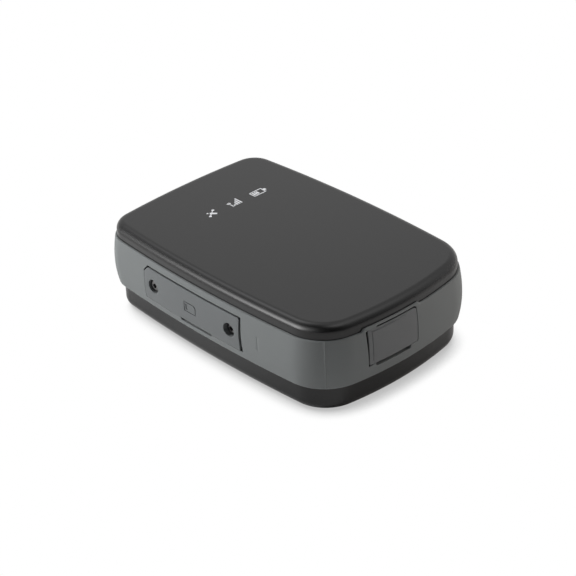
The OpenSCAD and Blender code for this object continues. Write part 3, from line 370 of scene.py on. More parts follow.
class Plan:
    """The arcs of the plan, counterclockwise from the middle of the far side. A place on it is
    a distance along the crown, an inset from the crown and a height."""

    def __init__(self, case):
        half_wide = case.wide / 2
        self.side = case.side_curve - half_wide
        front = case.long / 2 - case.front_curve
        rear = case.long / 2 - case.rear_curve
        self.front_post, front_end, front_side = self.corner(case, front, case.front_curve,
                                                             case.front_corner)
        self.rear_post, rear_end, rear_side = self.corner(case, rear, case.rear_curve,
                                                          case.rear_corner)
        half = math.pi
        whole = 2 * math.pi
        fx, fy = self.front_post
        rx, ry = self.rear_post
        self.arcs = [
            Arc((0, -self.side), case.side_curve, half / 2, half - rear_side),
            Arc((-rx, ry), case.rear_corner, half - rear_side, half - rear_end),
            Arc((-rear, 0), case.rear_curve, half - rear_end, half + rear_end),
            Arc((-rx, -ry), case.rear_corner, half + rear_end, half + rear_side),
            Arc((0, self.side), case.side_curve, half + rear_side, whole - front_side),
            Arc((fx, -fy), case.front_corner, whole - front_side, whole - front_end),
            Arc((front, 0), case.front_curve, whole - front_end, whole + front_end),
            Arc((fx, fy), case.front_corner, whole + front_end, whole + front_side),
            Arc((0, -self.side), case.side_curve, whole + front_side, whole + half / 2),
        ]
        self.starts = [0]
        for arc in self.arcs:
            self.starts.append(self.starts[-1] + arc.long)
        self.long = self.starts[-1]

    def corner(self, case, middle, end_curve, radius):
        """Centre of the corner arc that touches a side arc and an end arc, with the angles at
        which it meets the end and the side."""
        to_side = case.side_curve - radius
        to_end = end_curve - radius
        apart = math.hypot(middle, self.side)
        along = (to_side ** 2 - to_end ** 2 + apart ** 2) / (2 * apart)
        off = math.sqrt(to_side ** 2 - along ** 2)
        x = (along * middle + off * self.side) / apart
        y = -self.side + (along * self.side - off * middle) / apart
        return (x, y), math.atan2(y, x - middle), math.atan2(y + self.side, x)

    def at(self, along, inset, z):
        """The point at that distance along the crown, that inset and that height."""
        index = 0
        while index < len(self.arcs) - 1 and along > self.starts[index + 1]:
            index += 1
        arc = self.arcs[index]
        turned = arc.start + (along - self.starts[index]) / arc.radius
        normal = Vector((math.cos(turned), math.sin(turned)))
        point = arc.centre + normal * (arc.radius - inset)
        return Vector((point.x, point.y, z))

    def along_arc(self, index, facing, across):
        """Distance along the crown of a place across an arc whose middle faces that angle."""
        arc = self.arcs[index]
        turned = facing + math.asin(across / arc.radius) - arc.start
        return self.starts[index] + turned * arc.radius

    def near_side(self, x):
        """Distance along the crown of a place on the side with the card door."""
        return self.along_arc(NEAR_SIDE, 1.5 * math.pi, x)

    def socket_end(self, y):
        """Distance along the crown of a place on the end with the socket."""
        return self.along_arc(SOCKET_END, 2 * math.pi, y)

    def near_corner(self, turned):
        """Distance along the crown of a share of the corner between door and socket."""
        return self.starts[NEAR_CORNER] + self.arcs[NEAR_CORNER].long * turned

    def samples(self, step, turn):
        """Distances along the crown, no further apart than a length and than an angle."""
        places = []
        for arc, start in zip(self.arcs, self.starts):
            count = max(1, math.ceil(arc.long / step), math.ceil(arc.turn / turn))
            places += [start + arc.long * index / count for index in range(count)]
        return places


class BandFace:
    """The bulged outer face of the band, which the door and the flap continue."""

    def __init__(self, plan, band):
        self.plan = plan
        self.band = band
        up = band.top - band.crown
        down = band.crown - band.bottom
        self.up_curve = (up ** 2 + band.top_drop ** 2) / (2 * band.top_drop)
        self.down_curve = (down ** 2 + band.bottom_drop ** 2) / (2 * band.bottom_drop)

    def inset(self, z):
        curve = self.up_curve if z > self.band.crown else self.down_curve
        return curve - math.sqrt(curve ** 2 - (z - self.band.crown) ** 2)

    def at(self, along, z, depth=0):
        return self.plan.at(along, self.inset(z) + depth, z)


# Outlines. A loop is a list of (place, outward normal), run counterclockwise.

def rounded(corners, step, steps=6):
    """A polygon with round corners. A corner is (x, z, radius), and may point inwards."""
    loop = []
    count = len(corners)
    for index, (x, z, radius) in enumerate(corners):
        here = Vector((x, z))
        coming = (here - Vector(corners[index - 1][:2])).normalized()
        going = (Vector(corners[(index + 1) % count][:2]) - here).normalized()
        turn = math.atan2(coming.cross(going), coming.dot(going))
        side = 1 if turn > 0 else -1
        normal = Vector((coming.y, -coming.x))
        centre = here - coming * radius * math.tan(abs(turn) / 2) - normal * side * radius
        for k in range(steps + 1):
            spun = Matrix.Rotation(turn * k / steps, 2) @ normal
            loop.append((centre + spun * side * radius, spun))
    dense = []
    for index, (place, normal) in enumerate(loop):
        ahead, ahead_normal = loop[(index + 1) % len(loop)]
        cuts = max(1, math.ceil((ahead - place).length / step))
        for k in range(cuts):
            dense.append((place.lerp(ahead, k / cuts), normal.lerp(ahead_normal, k / cuts)))
    return dense


def circle(x, z, radius, count):
    loop = []
    for index in range(count):
        spin = 2 * math.pi * index / count
        normal = Vector((math.cos(spin), math.sin(spin)))
        loop.append((Vector((x, z)) + normal * radius, normal))
    return loop


def offset(loop, distance):
    return [(place + normal * distance, normal) for place, normal in loop]


def places(loop):
    return [place for place, _ in loop]


def bounds_of(points):
    xs = [point.x for point in points]
    ys = [point.y for point in points]
    return min(xs), max(xs), min(ys), max(ys)


def inside(point, polygon):
    found = False
    for index, a in enumerate(polygon):
        b = polygon[index - 1]
        if (a.y > point.y) != (b.y > point.y):
            if point.x < (b.x - a.x) * (point.y - a.y) / (b.y - a.y) + a.x:
                found = not found
    return found


def distance_to(point, polygon):
    nearest = math.inf
    for index, a in enumerate(polygon):
        b = polygon[index - 1]
        run = b - a
        share_along = max(0, min(1, (point - a).dot(run) / max(run.length_squared, 1e-18)))
        nearest = min(nearest, (a + run * share_along - point).length)
    return nearest


class Region:
    """The inside of one outline without its holes, for choosing points and triangles."""

    def __init__(self, outer, holes):
        self.loops = [places(outer)] + [places(hole) for hole in holes]
        self.boxes = [bounds_of(loop) for loop in self.loops]

    def near(self, index, point, guard):
        x0, x1, y0, y1 = self.boxes[index]
        return x0 - guard < point.x < x1 + guard and y0 - guard < point.y < y1 + guard

    def holds(self, point, guard=0):
        """True where the point lies in the region, at least guard away from every outline."""
        for index, loop in enumerate(self.loops):
            if not self.near(index, point, guard):
                if index == 0:
                    return False
                continue
            if inside(point, loop) != (index == 0):
                return False
            if guard and distance_to(point, loop) < guard:
                return False
        return True


# Meshes

class Shape:
    """One mesh, gathered from rows, strips and flat or curved sheets."""

    def __init__(self):
        self.mesh = bmesh.new()

    def row(self, points):
        return [self.mesh.verts.new(point) for point in points]

    def strip(self, lower, upper):
        for index in range(len(lower)):
            ahead = (index + 1) % len(lower)
            self.mesh.faces.new((lower[index], lower[ahead], upper[ahead], upper[index]))

    def tube(self, rings):
        rows = [self.row(ring) for ring in rings]
        for lower, upper in zip(rows, rows[1:]):
            self.strip(lower, upper)
        return rows

    def cap(self, row):
        self.mesh.faces.new(row)

    def solid(self, rings):
        """A closed tube with a flat cap at each end."""
        rows = self.tube(rings)
        self.cap(rows[0])
        self.cap(rows[-1])

    def sheet(self, outer, holes, grid, guard, place):
        """A sheet inside an outline and round its holes. place takes a point of the outline's
        plane to its place in space, and grid gives the points in between."""
        region = Region(outer, holes)
        points = []
        edges = []
        for loop in region.loops:
            start = len(points)
            points += loop
            count = len(loop)
            edges += [(start + k, start + (k + 1) % count) for k in range(count)]
        points += [point for point in grid if region.holds(point, guard)]
        found = delaunay_2d_cdt(points, edges, [], 0, 1e-9)
        verts = self.row([place(point) for point in found[0]])
        for triangle in found[2]:
            middle = sum((found[0][k] for k in triangle), Vector((0, 0))) / len(triangle)
            if region.holds(middle):
                self.mesh.faces.new([verts[k] for k in triangle])

    def block(self, low, high):
        """A plain box, which cuts or joins another mesh."""
        corners = [(low[0], low[1]), (high[0], low[1]), (high[0], high[1]), (low[0], high[1])]
        self.solid([[(x, y, z) for x, y in corners] for z in (low[2], high[2])])

    def rod(self, matrix, profile, steps=32):
        """A turned form. The profile lists (radius, height) along the local Z axis."""
        turns = [2 * math.pi * k / steps for k in range(steps)]
        self.solid([[matrix @ Vector((r * math.cos(a), r * math.sin(a), h)) for a in turns]
                    for r, h in profile])

    def data(self, name):
        bmesh.ops.remove_doubles(self.mesh, verts=self.mesh.verts, dist=MERGE)
        bmesh.ops.dissolve_degenerate(self.mesh, edges=self.mesh.edges, dist=MERGE)
        bmesh.ops.recalc_face_normals(self.mesh, faces=self.mesh.faces)
        made = bpy.data.meshes.new(name)
        self.mesh.to_mesh(made)
        self.mesh.free()
        return made


def linked(name, data):
    made = bpy.data.objects.new(name, data)
    bpy.context.scene.collection.objects.link(made)
    return made


def combined(base, changes):
    """The mesh of base after exact cuts and joins, given as (operation, mesh)."""
    body = linked("combined", base)
    tools = []
    for operation, data in changes:
        tool = linked("tool", data)
        tools.append(tool)
        step = body.modifiers.new(operation, "BOOLEAN")
        step.operation = operation
        step.object = tool
        step.solver = "EXACT"
        step.use_self = True
    view = bpy.context.evaluated_depsgraph_get()
    view.update()
    made = bpy.data.meshes.new_from_object(body.evaluated_get(view))
    for tool in tools + [body]:
        bpy.data.objects.remove(tool)
    if not made.polygons:
        raise RuntimeError("a cut left nothing of " + base.name)
    return made


def piece(name, data, finish, body, nodes, matrix=None):
    """Puts a mesh in the scene as a finished piece that rides on a body and stands for nodes."""
    data.shade_smooth()
    data.set_sharp_from_angle(angle=SHARP)
    data.materials.clear()
    data.materials.append(finish)
    made = linked(name, data)
    if matrix:
        made.matrix_world = matrix
    weighted = made.modifiers.new("even_normals", "WEIGHTED_NORMAL")
    weighted.keep_sharp = True
    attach(made, body)
    if nodes:
        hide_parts(*nodes)
    return made


def quarter(start, end, steps):
    """A quarter circle of (inset, z) from one point to another, leaving along Z."""
    (inset0, z0), (inset1, z1) = start, end
    turns = [math.pi / 2 * k / steps for k in range(steps + 1)]
    return [(inset1 + (inset0 - inset1) * math.cos(a), z0 + (z1 - z0) * math.sin(a))
            for a in turns]


def swept(plan, profile):
    """A closed shell: a profile of (inset, z), swept round the plan and capped at its ends."""
    shape = Shape()
    around = plan.samples(SHELL_STEP, SHELL_TURN)
    shape.solid([[plan.at(along, inset, z) for along in around] for inset, z in profile])
    return shape


def rounding(edge):
    """Steps of a rounded edge: how far each lies out from the inner line, and how deep."""
    turns = [math.pi / 2 * k / EDGE_STEPS for k in range(EDGE_STEPS + 1)]
    return [(edge * (1 - math.sin(turn)), edge * (1 - math.cos(turn))) for turn in turns]


def eased(value):
    """0 up to 0, 1 from 1 on, and a smooth rise in between."""
    value = max(0, min(1, value))
    return value * value * (3 - 2 * value)


# Finishes

class Term:
    """An output socket that can stand in a Python expression."""

    def __init__(self, finish, socket):
        self.finish = finish
        self.socket = socket

    def maths(self, operation, first, second):
        return self.finish.value("ShaderNodeMath", {"operation": operation}, {0: first, 1: second})

    def __add__(self, other):
        return self.maths("ADD", self, other)

    def __radd__(self, other):
        return self.maths("ADD", other, self)

    def __sub__(self, other):
        return self.maths("SUBTRACT", self, other)

    def __rsub__(self, other):
        return self.maths("SUBTRACT", other, self)

    def __mul__(self, other):
        return self.maths("MULTIPLY", self, other)

    def __rmul__(self, other):
        return self.maths("MULTIPLY", other, self)

    def __pow__(self, other):
        return self.maths("POWER", self, other)

    def positive(self):
        return self.maths("MAXIMUM", self, 0)


class Nodes:
    """A node tree that is built by calls."""

    def __init__(self, tree):
        self.tree = tree
        tree.nodes.clear()

    def node(self, kind, settings=None, inputs=None):
        """Any node: its type, its settings, and the values or links of its sockets."""
        made = self.tree.nodes.new(kind)
        for key, value in (settings or {}).items():
            setattr(made, key, value)
        for key, value in (inputs or {}).items():
            if isinstance(value, Term):
                value = value.socket
            if isinstance(value, bpy.types.NodeSocket):
                self.tree.links.new(value, made.inputs[key])
            else:
                made.inputs[key].default_value = value
        return made

    def value(self, kind, settings=None, inputs=None, output=0):
        return Term(self, self.node(kind, settings, inputs).outputs[output])

    def dot(self, first, second):
        return self.value("ShaderNodeVectorMath", {"operation": "DOT_PRODUCT"},
                          {0: first, 1: second}, 1)

    def between(self, value, low, high, start=0, end=1):
        """The value's stretch from low to high, taken to the stretch from start to end."""
        return self.value("ShaderNodeMapRange", {"interpolation_type": "SMOOTHSTEP"}, {
            "Value": value, "From Min": low, "From Max": high, "To Min": start, "To Max": end})


class Finish(Nodes):
    """One material: a Principled shader, and the nodes that vary it over the surface."""

    def __init__(self, name, **constants):
        self.material = bpy.data.materials.new(name + OWN)
        self.material.use_nodes = True
        super().__init__(self.material.node_tree)
        self.shader = self.node("ShaderNodeBsdfPrincipled")
        for socket, value in constants.items():
            self.shader.inputs[socket.replace("_", " ")].default_value = value
        self.output = self.node("ShaderNodeOutputMaterial", {},
                                {"Surface": self.shader.outputs[0]})
        self.place = self.value("ShaderNodeTexCoord", {}, {}, "Object")

    def stretched(self, x, y, z):
        """The place on the piece, scaled by three numbers."""
        return self.value("ShaderNodeVectorMath", {"operation": "MULTIPLY"},
                          {0: self.place, 1: (x, y, z)})

    def noise(self, scale, detail=2, rough=0.5, place=None):
        return self.value("ShaderNodeTexNoise", {}, {
            "Vector": place or self.place, "Scale": scale, "Detail": detail, "Roughness": rough})

    def cells(self, scale, place=None):
        return self.value("ShaderNodeTexVoronoi", {}, {
            "Vector": place or self.place, "Scale": scale})

    def axis(self, name):
        return self.value("ShaderNodeSeparateXYZ", {}, {0: self.place}, name)

    def mix(self, first, second, factor):
        """A colour between two colours."""
        return self.value("ShaderNodeMix", {"data_type": "RGBA"},
                          {0: factor, 6: first, 7: second}, 2)

    def paint(self, socket, value):
        self.tree.links.new(value.socket, self.shader.inputs[socket])

    def painted_gap_shade(self):
        """How much painted shade a place gets from its openness: 1 deep in a small gap, 0 on an
        open face.
        """
        open_to_air = self.value("ShaderNodeAmbientOcclusion", {}, {"Distance": PAINTED_SHADE_REACH}, "AO")
        return self.between(open_to_air, *PAINTED_SHADE_FROM_TO, 1, 0)

    def bump(self, height, strength, distance):
        self.paint("Normal", self.value("ShaderNodeBump", {}, {
            "Height": height, "Strength": strength, "Distance": distance}))


def tone(base, factor, warm=0):
    """A colour made lighter or darker, and a little warmer or cooler."""
    red, green, blue = base[0], base[1], base[2]
    return (min(1, red * factor * (1 + warm)), min(1, green * factor),
            min(1, blue * factor * (1 - warm)), 1)


def moulded(name, base, rough, grain=5200, deep=0.012 * MM, spread=0.12, specular=0.5):
    """Moulded plastic: a spark-eroded grain, slow clouds of tone, a few rubbed places, and painted
    shade that darkens the colour in small gaps.
    """
    made = Finish(name, Specular_IOR_Level=specular)
    cloud = made.noise(45, 4, 0.6)
    fine = made.noise(grain, 3, 0.55)
    pits = made.cells(grain * 0.7)
    rub = made.between(made.noise(160, 5, 0.65), 0.58, 0.78)
    worn = made.mix(made.mix(tone(base, 1 - spread), tone(base, 1 + spread), cloud),
                    tone(base, 1 + 2.5 * spread), rub * 0.35)
    # Painted shade: the colour goes dark where ambient occlusion finds the surface closed in, in
    # gaps and recesses
    made.paint("Base Color", made.mix(worn, tone(base, PAINTED_SHADE_TONE), made.painted_gap_shade()))
    made.paint("Roughness", rough - 0.05 + 0.1 * fine + 0.05 * cloud - 0.04 * rub)
    made.bump(fine * 0.65 + pits * 0.35, 0.35, deep)
    return made.material


def rubber(name, base, rough=0.56, grain=4200, deep=0.014 * MM, spread=0.05):
    """Soft moulded rubber: a matt grain, faint bloom, a little dust in the grain, and painted
    shade that darkens the colour in small gaps.
    """
    made = Finish(name, Specular_IOR_Level=0.4, Sheen_Weight=0.04, Sheen_Roughness=0.5)
    cloud = made.noise(60, 3, 0.55)
    fine = made.noise(grain, 3, 0.6)
    dust = made.between(made.noise(grain * 0.3, 4, 0.7), 0.62, 0.8)
    dusty = made.mix(made.mix(tone(base, 1 - spread), tone(base, 1 + spread), cloud),
                     tone(base, 1.25), dust * 0.25)
    # Painted shade: the colour goes dark where ambient occlusion finds the surface closed in, in
    # gaps, slots and recesses
    made.paint("Base Color", made.mix(dusty, tone(base, PAINTED_SHADE_TONE), made.painted_gap_shade()))
    made.paint("Roughness", rough - 0.03 + 0.08 * fine + 0.04 * cloud)
    made.bump(fine, 0.3, deep)
    return made.material


def plated(name, base, rough=0.3, lay=(1, 1, 1), grain=5000, stain=0.15):
    """Plated or bare metal with fine scratches along its lay and slightly stained places."""
    made = Finish(name, Metallic=1.0)
    scratch = made.noise(grain, 3, 0.6, made.stretched(*lay))
    blotch = made.noise(300, 4, 0.6)
    made.paint("Base Color", made.mix(tone(base, 1), tone(base, 1 - stain, 0.05), blotch))
    made.paint("Roughness", rough - 0.08 + 0.16 * scratch + 0.08 * blotch)
    made.bump(scratch, 0.2, 0.004 * MM)
    return made.material


def printed(name, base):
    """Screen-printed ink: faint pinholes and an uneven edge in its tone."""
    made = Finish(name, Specular_IOR_Level=0.35)
    speck = made.noise(9000, 3, 0.6)
    made.paint("Base Color", made.mix(tone(base, 0.82), tone(base, 1.06), speck))
    made.paint("Roughness", 0.5 + 0.2 * speck)
    made.bump(speck, 0.25, 0.004 * MM)
    return made.material


def laminate(name, base):
    """Solder mask over fibre glass: buried copper lines, pads along them and the weave."""
    made = Finish(name, Coat_Roughness=0.15)
    along = made.axis("Y")
    weave = made.noise(1600, 2, 0.5, made.stretched(1, 0.2, 1)) * 0.5 \
        + made.noise(1600, 2, 0.5, made.stretched(0.2, 1, 1)) * 0.5
    bends = made.noise(90, 2, 0.4) * 0.004
    lines = made.value("ShaderNodeMath", {"operation": "PINGPONG"},
                       {0: along + bends, 1: 0.45 * MM})
    copper = made.between(lines, 0.16 * MM, 0.2 * MM, 1, 0)
    where = made.between(made.noise(140, 1, 0.4), 0.46, 0.5)
    drawn = copper * where
    holes = made.between(made.cells(420), 0.09, 0.13, 1, 0)
    mask = made.mix(tone(base, 0.8), tone(base, 1.2), weave)
    traced = made.mix(mask, tone(base, 2.1, 0.05), drawn * 0.7)
    made.paint("Base Color", made.mix(traced, (0.6, 0.46, 0.2, 1), holes * 0.8))
    made.paint("Roughness", 0.34 + 0.12 * weave - 0.06 * drawn)
    made.paint("Coat Weight", 0.5 - 0.4 * holes)
    made.bump(drawn + 0.25 * weave, 0.3, 0.02 * MM)
    return made.material


def ceramic(name, base, rough):
    """Fired ceramic: pale pores and a faint mottle."""
    made = Finish(name, Specular_IOR_Level=0.45)
    pores = made.between(made.cells(3600), 0.05, 0.2, 1, 0)
    mottle = made.noise(700, 4, 0.6)
    made.paint("Base Color", made.mix(
        made.mix(tone(base, 0.9, 0.02), tone(base, 1.08), mottle), tone(base, 0.6), pores * 0.5))
    made.paint("Roughness", rough + 0.15 * mottle + 0.1 * pores)
    made.bump(mottle - pores * 0.6, 0.3, 0.01 * MM)
    return made.material


def foil(name, base):
    """Wrapped cell: thin film with soft creases over an even colour."""
    made = Finish(name, Specular_IOR_Level=0.5)
    crease = made.noise(220, 5, 0.65, made.stretched(1, 0.35, 1))
    cloud = made.noise(50, 2)
    made.paint("Base Color", made.mix(tone(base, 0.85), tone(base, 1.15), cloud))
    made.paint("Roughness", 0.24 + 0.2 * crease)
    made.bump(crease, 0.4, 0.12 * MM)
    return made.material


def foam(name, base):
    """Open foam: small dark cells."""
    made = Finish(name, Specular_IOR_Level=0.2)
    holes = made.cells(2600)
    made.paint("Base Color", made.mix(tone(base, 0.35), tone(base, 1.1),
                                      made.between(holes, 0.1, 0.6)))
    made.paint("Roughness", 0.85 + 0.1 * holes)
    made.bump(holes, 0.7, 0.08 * MM)
    return made.material


def guide(name, base):
    """Clear moulded plastic with a milky core."""
    made = Finish(name, Transmission_Weight=0.7, IOR=1.49)
    milk = made.noise(500, 3)
    made.paint("Base Color", made.mix(tone(base, 0.92), tone(base, 1.0), milk))
    made.paint("Roughness", 0.12 + 0.12 * milk)
    made.bump(milk, 0.15, 0.01 * MM)
    return made.material


def card_face(name, base):
    """Card plastic with a faint speckle in its tone and finish."""
    made = Finish(name, Specular_IOR_Level=0.45)
    speck = made.noise(3000, 3)
    made.paint("Base Color", made.mix(tone(base, 0.94), tone(base, 1.04), speck))
    made.paint("Roughness", 0.36 + 0.12 * speck)
    made.bump(speck, 0.2, 0.006 * MM)
    return made.material


def lamp_body(name, base):
    """Small light: a pale case with small yellow patches scattered over it."""
    made = Finish(name, Specular_IOR_Level=0.5)
    drop = made.noise(2400, 2)
    made.paint("Base Color", made.mix(tone(base, 1), (0.75, 0.62, 0.12, 1),
                                      made.between(drop, 0.45, 0.6)))
    made.paint("Roughness", 0.25 + 0.2 * drop)
    made.bump(drop, 0.2, 0.01 * MM)
    return made.material


# Operators

def finish_of(name, make):
    """The named material, made once."""
    return bpy.data.materials.get(name + OWN) or make()


def shell_finish(colours):
    return finish_of("shell_plastic", lambda: moulded("shell_plastic", colours.shell, SATIN))


def screw_finish(colours):
    return finish_of("screw_steel", lambda: plated("screw_steel", colours.steel))


def door_screw_places(door):
    return [("left", door.screw_left), ("right", door.screw_right)]


def case_screw_places(case, plan):
    """Middles of the four corner posts, set back from the corner centres towards the corners."""
    posts = []
    inner = case.seat + case.wall
    room = 0.3 * MM
    for (x, y), radius, end in ((plan.front_post, case.front_corner, 1),
                                (plan.rear_post, case.rear_corner, -1)):
        reach = (radius - inner - case.post - room) * math.cos(math.pi / 4)
        posts += [(end * (x + reach), y + reach), (end * (x + reach), -y - reach)]
    return posts


class TRACKER_OT_stage(bpy.types.Operator):
    """Makes the floor, the lamps, the white background and the camera"""
    bl_idname = "tracker.make_stage"
    bl_label = "Stage"

    def execute(self, context):
        settings = context.scene.tracker
        stage = settings.stage
        self.camera(context, stage)
        self.floor(settings)
        self.world(context, stage)
        for name, setting, direction, wide, tint in LAMPS:
            self.lamp(name, Vector(direction).normalized(), wide, getattr(stage, setting), tint,
                      stage.lamp_distance)
        context.scene.view_settings.view_transform = "Standard"
        return {"FINISHED"}

    def camera(self, context, stage):
        flat = math.cos(stage.elevation)
        back = Vector((math.sin(stage.azimuth) * flat, -math.cos(stage.azimuth) * flat,
                       math.sin(stage.elevation)))
        right = Vector((math.cos(stage.azimuth), math.sin(stage.azimuth), 0))
        up = back.cross(right)
        turned = right * math.cos(stage.roll) + up * math.sin(stage.roll)
        raised = up * math.cos(stage.roll) - right * math.sin(stage.roll)
        data = bpy.data.cameras.new("camera")
        data.sensor_fit = "HORIZONTAL"
        data.sensor_width = SENSOR
        data.lens = stage.lens / MM
        data.shift_x, data.shift_y = CAMERA_SHIFT
        made = linked("camera", data)
        place = Matrix((turned, raised, back)).transposed().to_4x4()
        place.translation = Vector((0, 0, stage.look_at)) + back * stage.distance
        made.matrix_world = place
        context.scene.camera = made

    def floor(self, settings):
        stage = settings.stage
        half = stage.floor
        shape = Shape()
        shape.cap(shape.row([(-half, -half, 0), (half, -half, 0), (half, half, 0),
                             (-half, half, 0)]))
        data = shape.data("floor")
        made = linked("floor", data)
        paint = Finish("pale_floor", Roughness=0.9, Specular_IOR_Level=0.0)
        paint.shader.inputs["Base Color"].default_value = tone(settings.colours.floor, 1)
        # In reflections soft patches of the floor glow
        rays = paint.node("ShaderNodeLightPath")
        mirrored = Term(paint, rays.outputs["Is Glossy Ray"]) \
            + Term(paint, rays.outputs["Is Transmission Ray"])
        glow = 0
        for place, inner, outer, level in GLOWS:
            away = paint.value("ShaderNodeVectorMath", {"operation": "DISTANCE"},
                               {0: paint.place, 1: Vector(place) * MM}, 1)
            glow += paint.between(away, inner * MM, outer * MM, level, 0)
        glow *= mirrored
        patch = paint.value("ShaderNodeEmission", {}, {"Color": glow})
        both = paint.node("ShaderNodeAddShader", {}, {0: paint.shader.outputs[0], 1: patch})
        # The camera sees white, with the soft shadow where the tracker shuts out the light
        lean = paint.value("ShaderNodeCombineXYZ", {}, SHADOW_LEAN)
        open_to_light = paint.value("ShaderNodeAmbientOcclusion", {},
                                    {"Distance": stage.shadow_reach, "Normal": lean}, "AO")
        shade = paint.between(open_to_light, *SHADOW_FROM_TO, *SHADOW_LEVELS)
        white = paint.value("ShaderNodeEmission", {}, {"Color": shade})
        seen = paint.node("ShaderNodeMixShader", {}, {
            0: rays.outputs["Is Camera Ray"], 1: both.outputs[0], 2: white})
        paint.tree.links.new(seen.outputs[0], paint.output.inputs["Surface"])
        data.materials.append(paint.material)

    def world(self, context, stage):
        """White to the camera, an even light on everything, and in reflections a pale wall
        behind, a dark room on the camera's side and the soft boxes."""
        world = bpy.data.worlds.new("studio")
        world.use_nodes = True
        nodes = Nodes(world.node_tree)
        rays = nodes.node("ShaderNodeLightPath")
        camera = Term(nodes, rays.outputs["Is Camera Ray"])
        mirrored = Term(nodes, rays.outputs["Is Glossy Ray"]) \
            + Term(nodes, rays.outputs["Is Transmission Ray"])
        direction = nodes.value("ShaderNodeTexCoord", {}, {}, "Generated")
        front = (math.sin(stage.azimuth), -math.cos(stage.azimuth), 0)
        seen = nodes.between(nodes.dot(direction, front), ROOM_FROM, ROOM_TO, WALL, ROOM)
        for place, sharpness, strength in SOFT_BOXES:
            towards = nodes.dot(direction, Vector(place).normalized())
            seen = seen + towards.positive() ** sharpness * strength
        level = camera + mirrored * seen + (1 - camera - mirrored) * WORLD_LIGHT
        lit = nodes.node("ShaderNodeBackground", {}, {"Strength": level})
        nodes.node("ShaderNodeOutputWorld", {}, {"Surface": lit.outputs[0]})
        context.scene.world = world

    def lamp(self, name, direction, wide, watts, tint, distance):
        data = bpy.data.lights.new(name, "AREA")
        data.shape = "DISK"
        data.size = wide
        data.energy = watts
        data.color = tint
        made = linked(name, data)
        made.visible_glossy = False
        made.location = direction * distance
        made.rotation_euler = direction.to_track_quat("Z", "Y").to_euler()


class TRACKER_OT_lid(bpy.types.Operator):
    """Makes the lid, with its rounded upper edge"""
    bl_idname = "tracker.make_lid"
    bl_label = "Lid"

    def execute(self, context):
        settings = context.scene.tracker
        case = settings.case
        plan = Plan(case)
        inner = case.seat + case.wall
        under = case.high - case.skin
        ledge = settings.band.top + LEDGE_GAP
        profile = [(inner + case.inner_round, under)]
        profile += quarter((inner, under - case.inner_round), profile[0], 5)[::-1]
        profile += [(inner, case.rim), (case.seat, case.rim), (case.seat, ledge),
                    (case.lid_step, ledge)]
        shoulder = case.high - case.lid_round
        profile += [(case.lid_step, ledge + (shoulder - ledge) / 2)]
        profile += quarter((case.lid_step, shoulder),
                           (case.lid_step + case.lid_round, case.high), 14)
        shape = swept(plan, profile)
        piece("lid", shape.data("lid"), shell_finish(settings.colours), "case",
              ["top_cover"])
        return {"FINISHED"}


class TRACKER_OT_icons(bpy.types.Operator):
    """Makes the three printed icons: satellite, signal and battery"""
    bl_idname = "tracker.make_icons"
    bl_label = "Icons"

    def execute(self, context):
        settings = context.scene.tracker
        self.icons = settings.icons
        self.top = settings.case.high
        ink = printed("icon_ink", settings.colours.ink)
        for name, draw, place in (("satellite", self.satellite, -1), ("signal", self.signal, 0),
                                  ("battery", self.battery, 1)):
            self.shape = Shape()
            self.across = self.icons.middle + self.icons.pitch * place
            draw()
            piece("icon_" + name, self.shape.data("icon_" + name), ink, "case", [])
        return {"FINISHED"}

    def fill(self, points):
        """A printed patch. A point is (right, up) from the middle of the icon, in millimetres."""
        flat = [(self.icons.row - up * MM, self.across + right * MM) for right, up in points]
        sunk = self.top - 0.01 * MM
        self.shape.solid([[(x, y, z) for x, y in flat] for z in (sunk, self.top + self.icons.ink)])

    def bar(self, start, end, wide):
        """A straight printed line."""
        a = Vector(start)
        b = Vector(end)
        side = (b - a).orthogonal().normalized() * wide / 2
        self.fill([a + side, a - side, b - side, b + side])

    def battery(self):
        line = self.icons.line / MM
        half, rise, sunk = 2.1, 1.15, -0.33
        low, high = sunk - rise, sunk + rise
        self.bar((-half, high), (half, high), line)
        self.bar((-half, low), (half, low), line)
        self.bar((-half, low - line / 2), (-half, high + line / 2), line)
        self.bar((half, low - line / 2), (half, high + line / 2), line)
        self.bar((half + line / 2, sunk), (half + 3 * line, sunk), 1.0)
        for place in (-1.45, -0.75, -0.05):
            self.bar((place, low + 0.4), (place, high - 0.4), 0.5)

    def signal(self):
        line = self.icons.line / MM
        foot = -1.35
        for number in range(4):
            place = -0.75 + 0.75 * number
            self.bar((place, foot), (place, foot + 0.78 * (number + 1)), 0.46)
        stem, fork = -1.65, 0.95
        self.bar((stem, foot), (stem, fork), line)
        self.bar((stem, 0.1), (stem - 0.6, fork), line)
        self.bar((stem, 0.1), (stem + 0.6, fork), line)
        self.bar((stem - 0.65, fork), (stem + 0.65, fork), line)
        self.bar((stem, foot + line / 2), (-0.75, foot + line / 2), line)

    def satellite(self):
        """The body and the dish of a satellite, and an arm with a panel on both sides."""
        for start, end, wide in (
                ((-0.57, 0.57), (0.92, -0.92), 0.8), ((-1.15, 1.15), (-0.83, 0.83), 0.6),
                ((0.12, 0.45), (1.0, 1.13), 0.28), ((1.01, 1.14), (1.59, 1.58), 0.74),
                ((-0.53, -0.05), (-1.2, -0.57), 0.28), ((-1.21, -0.58), (-1.79, -1.02), 0.74)):
            self.bar(start, end, wide)


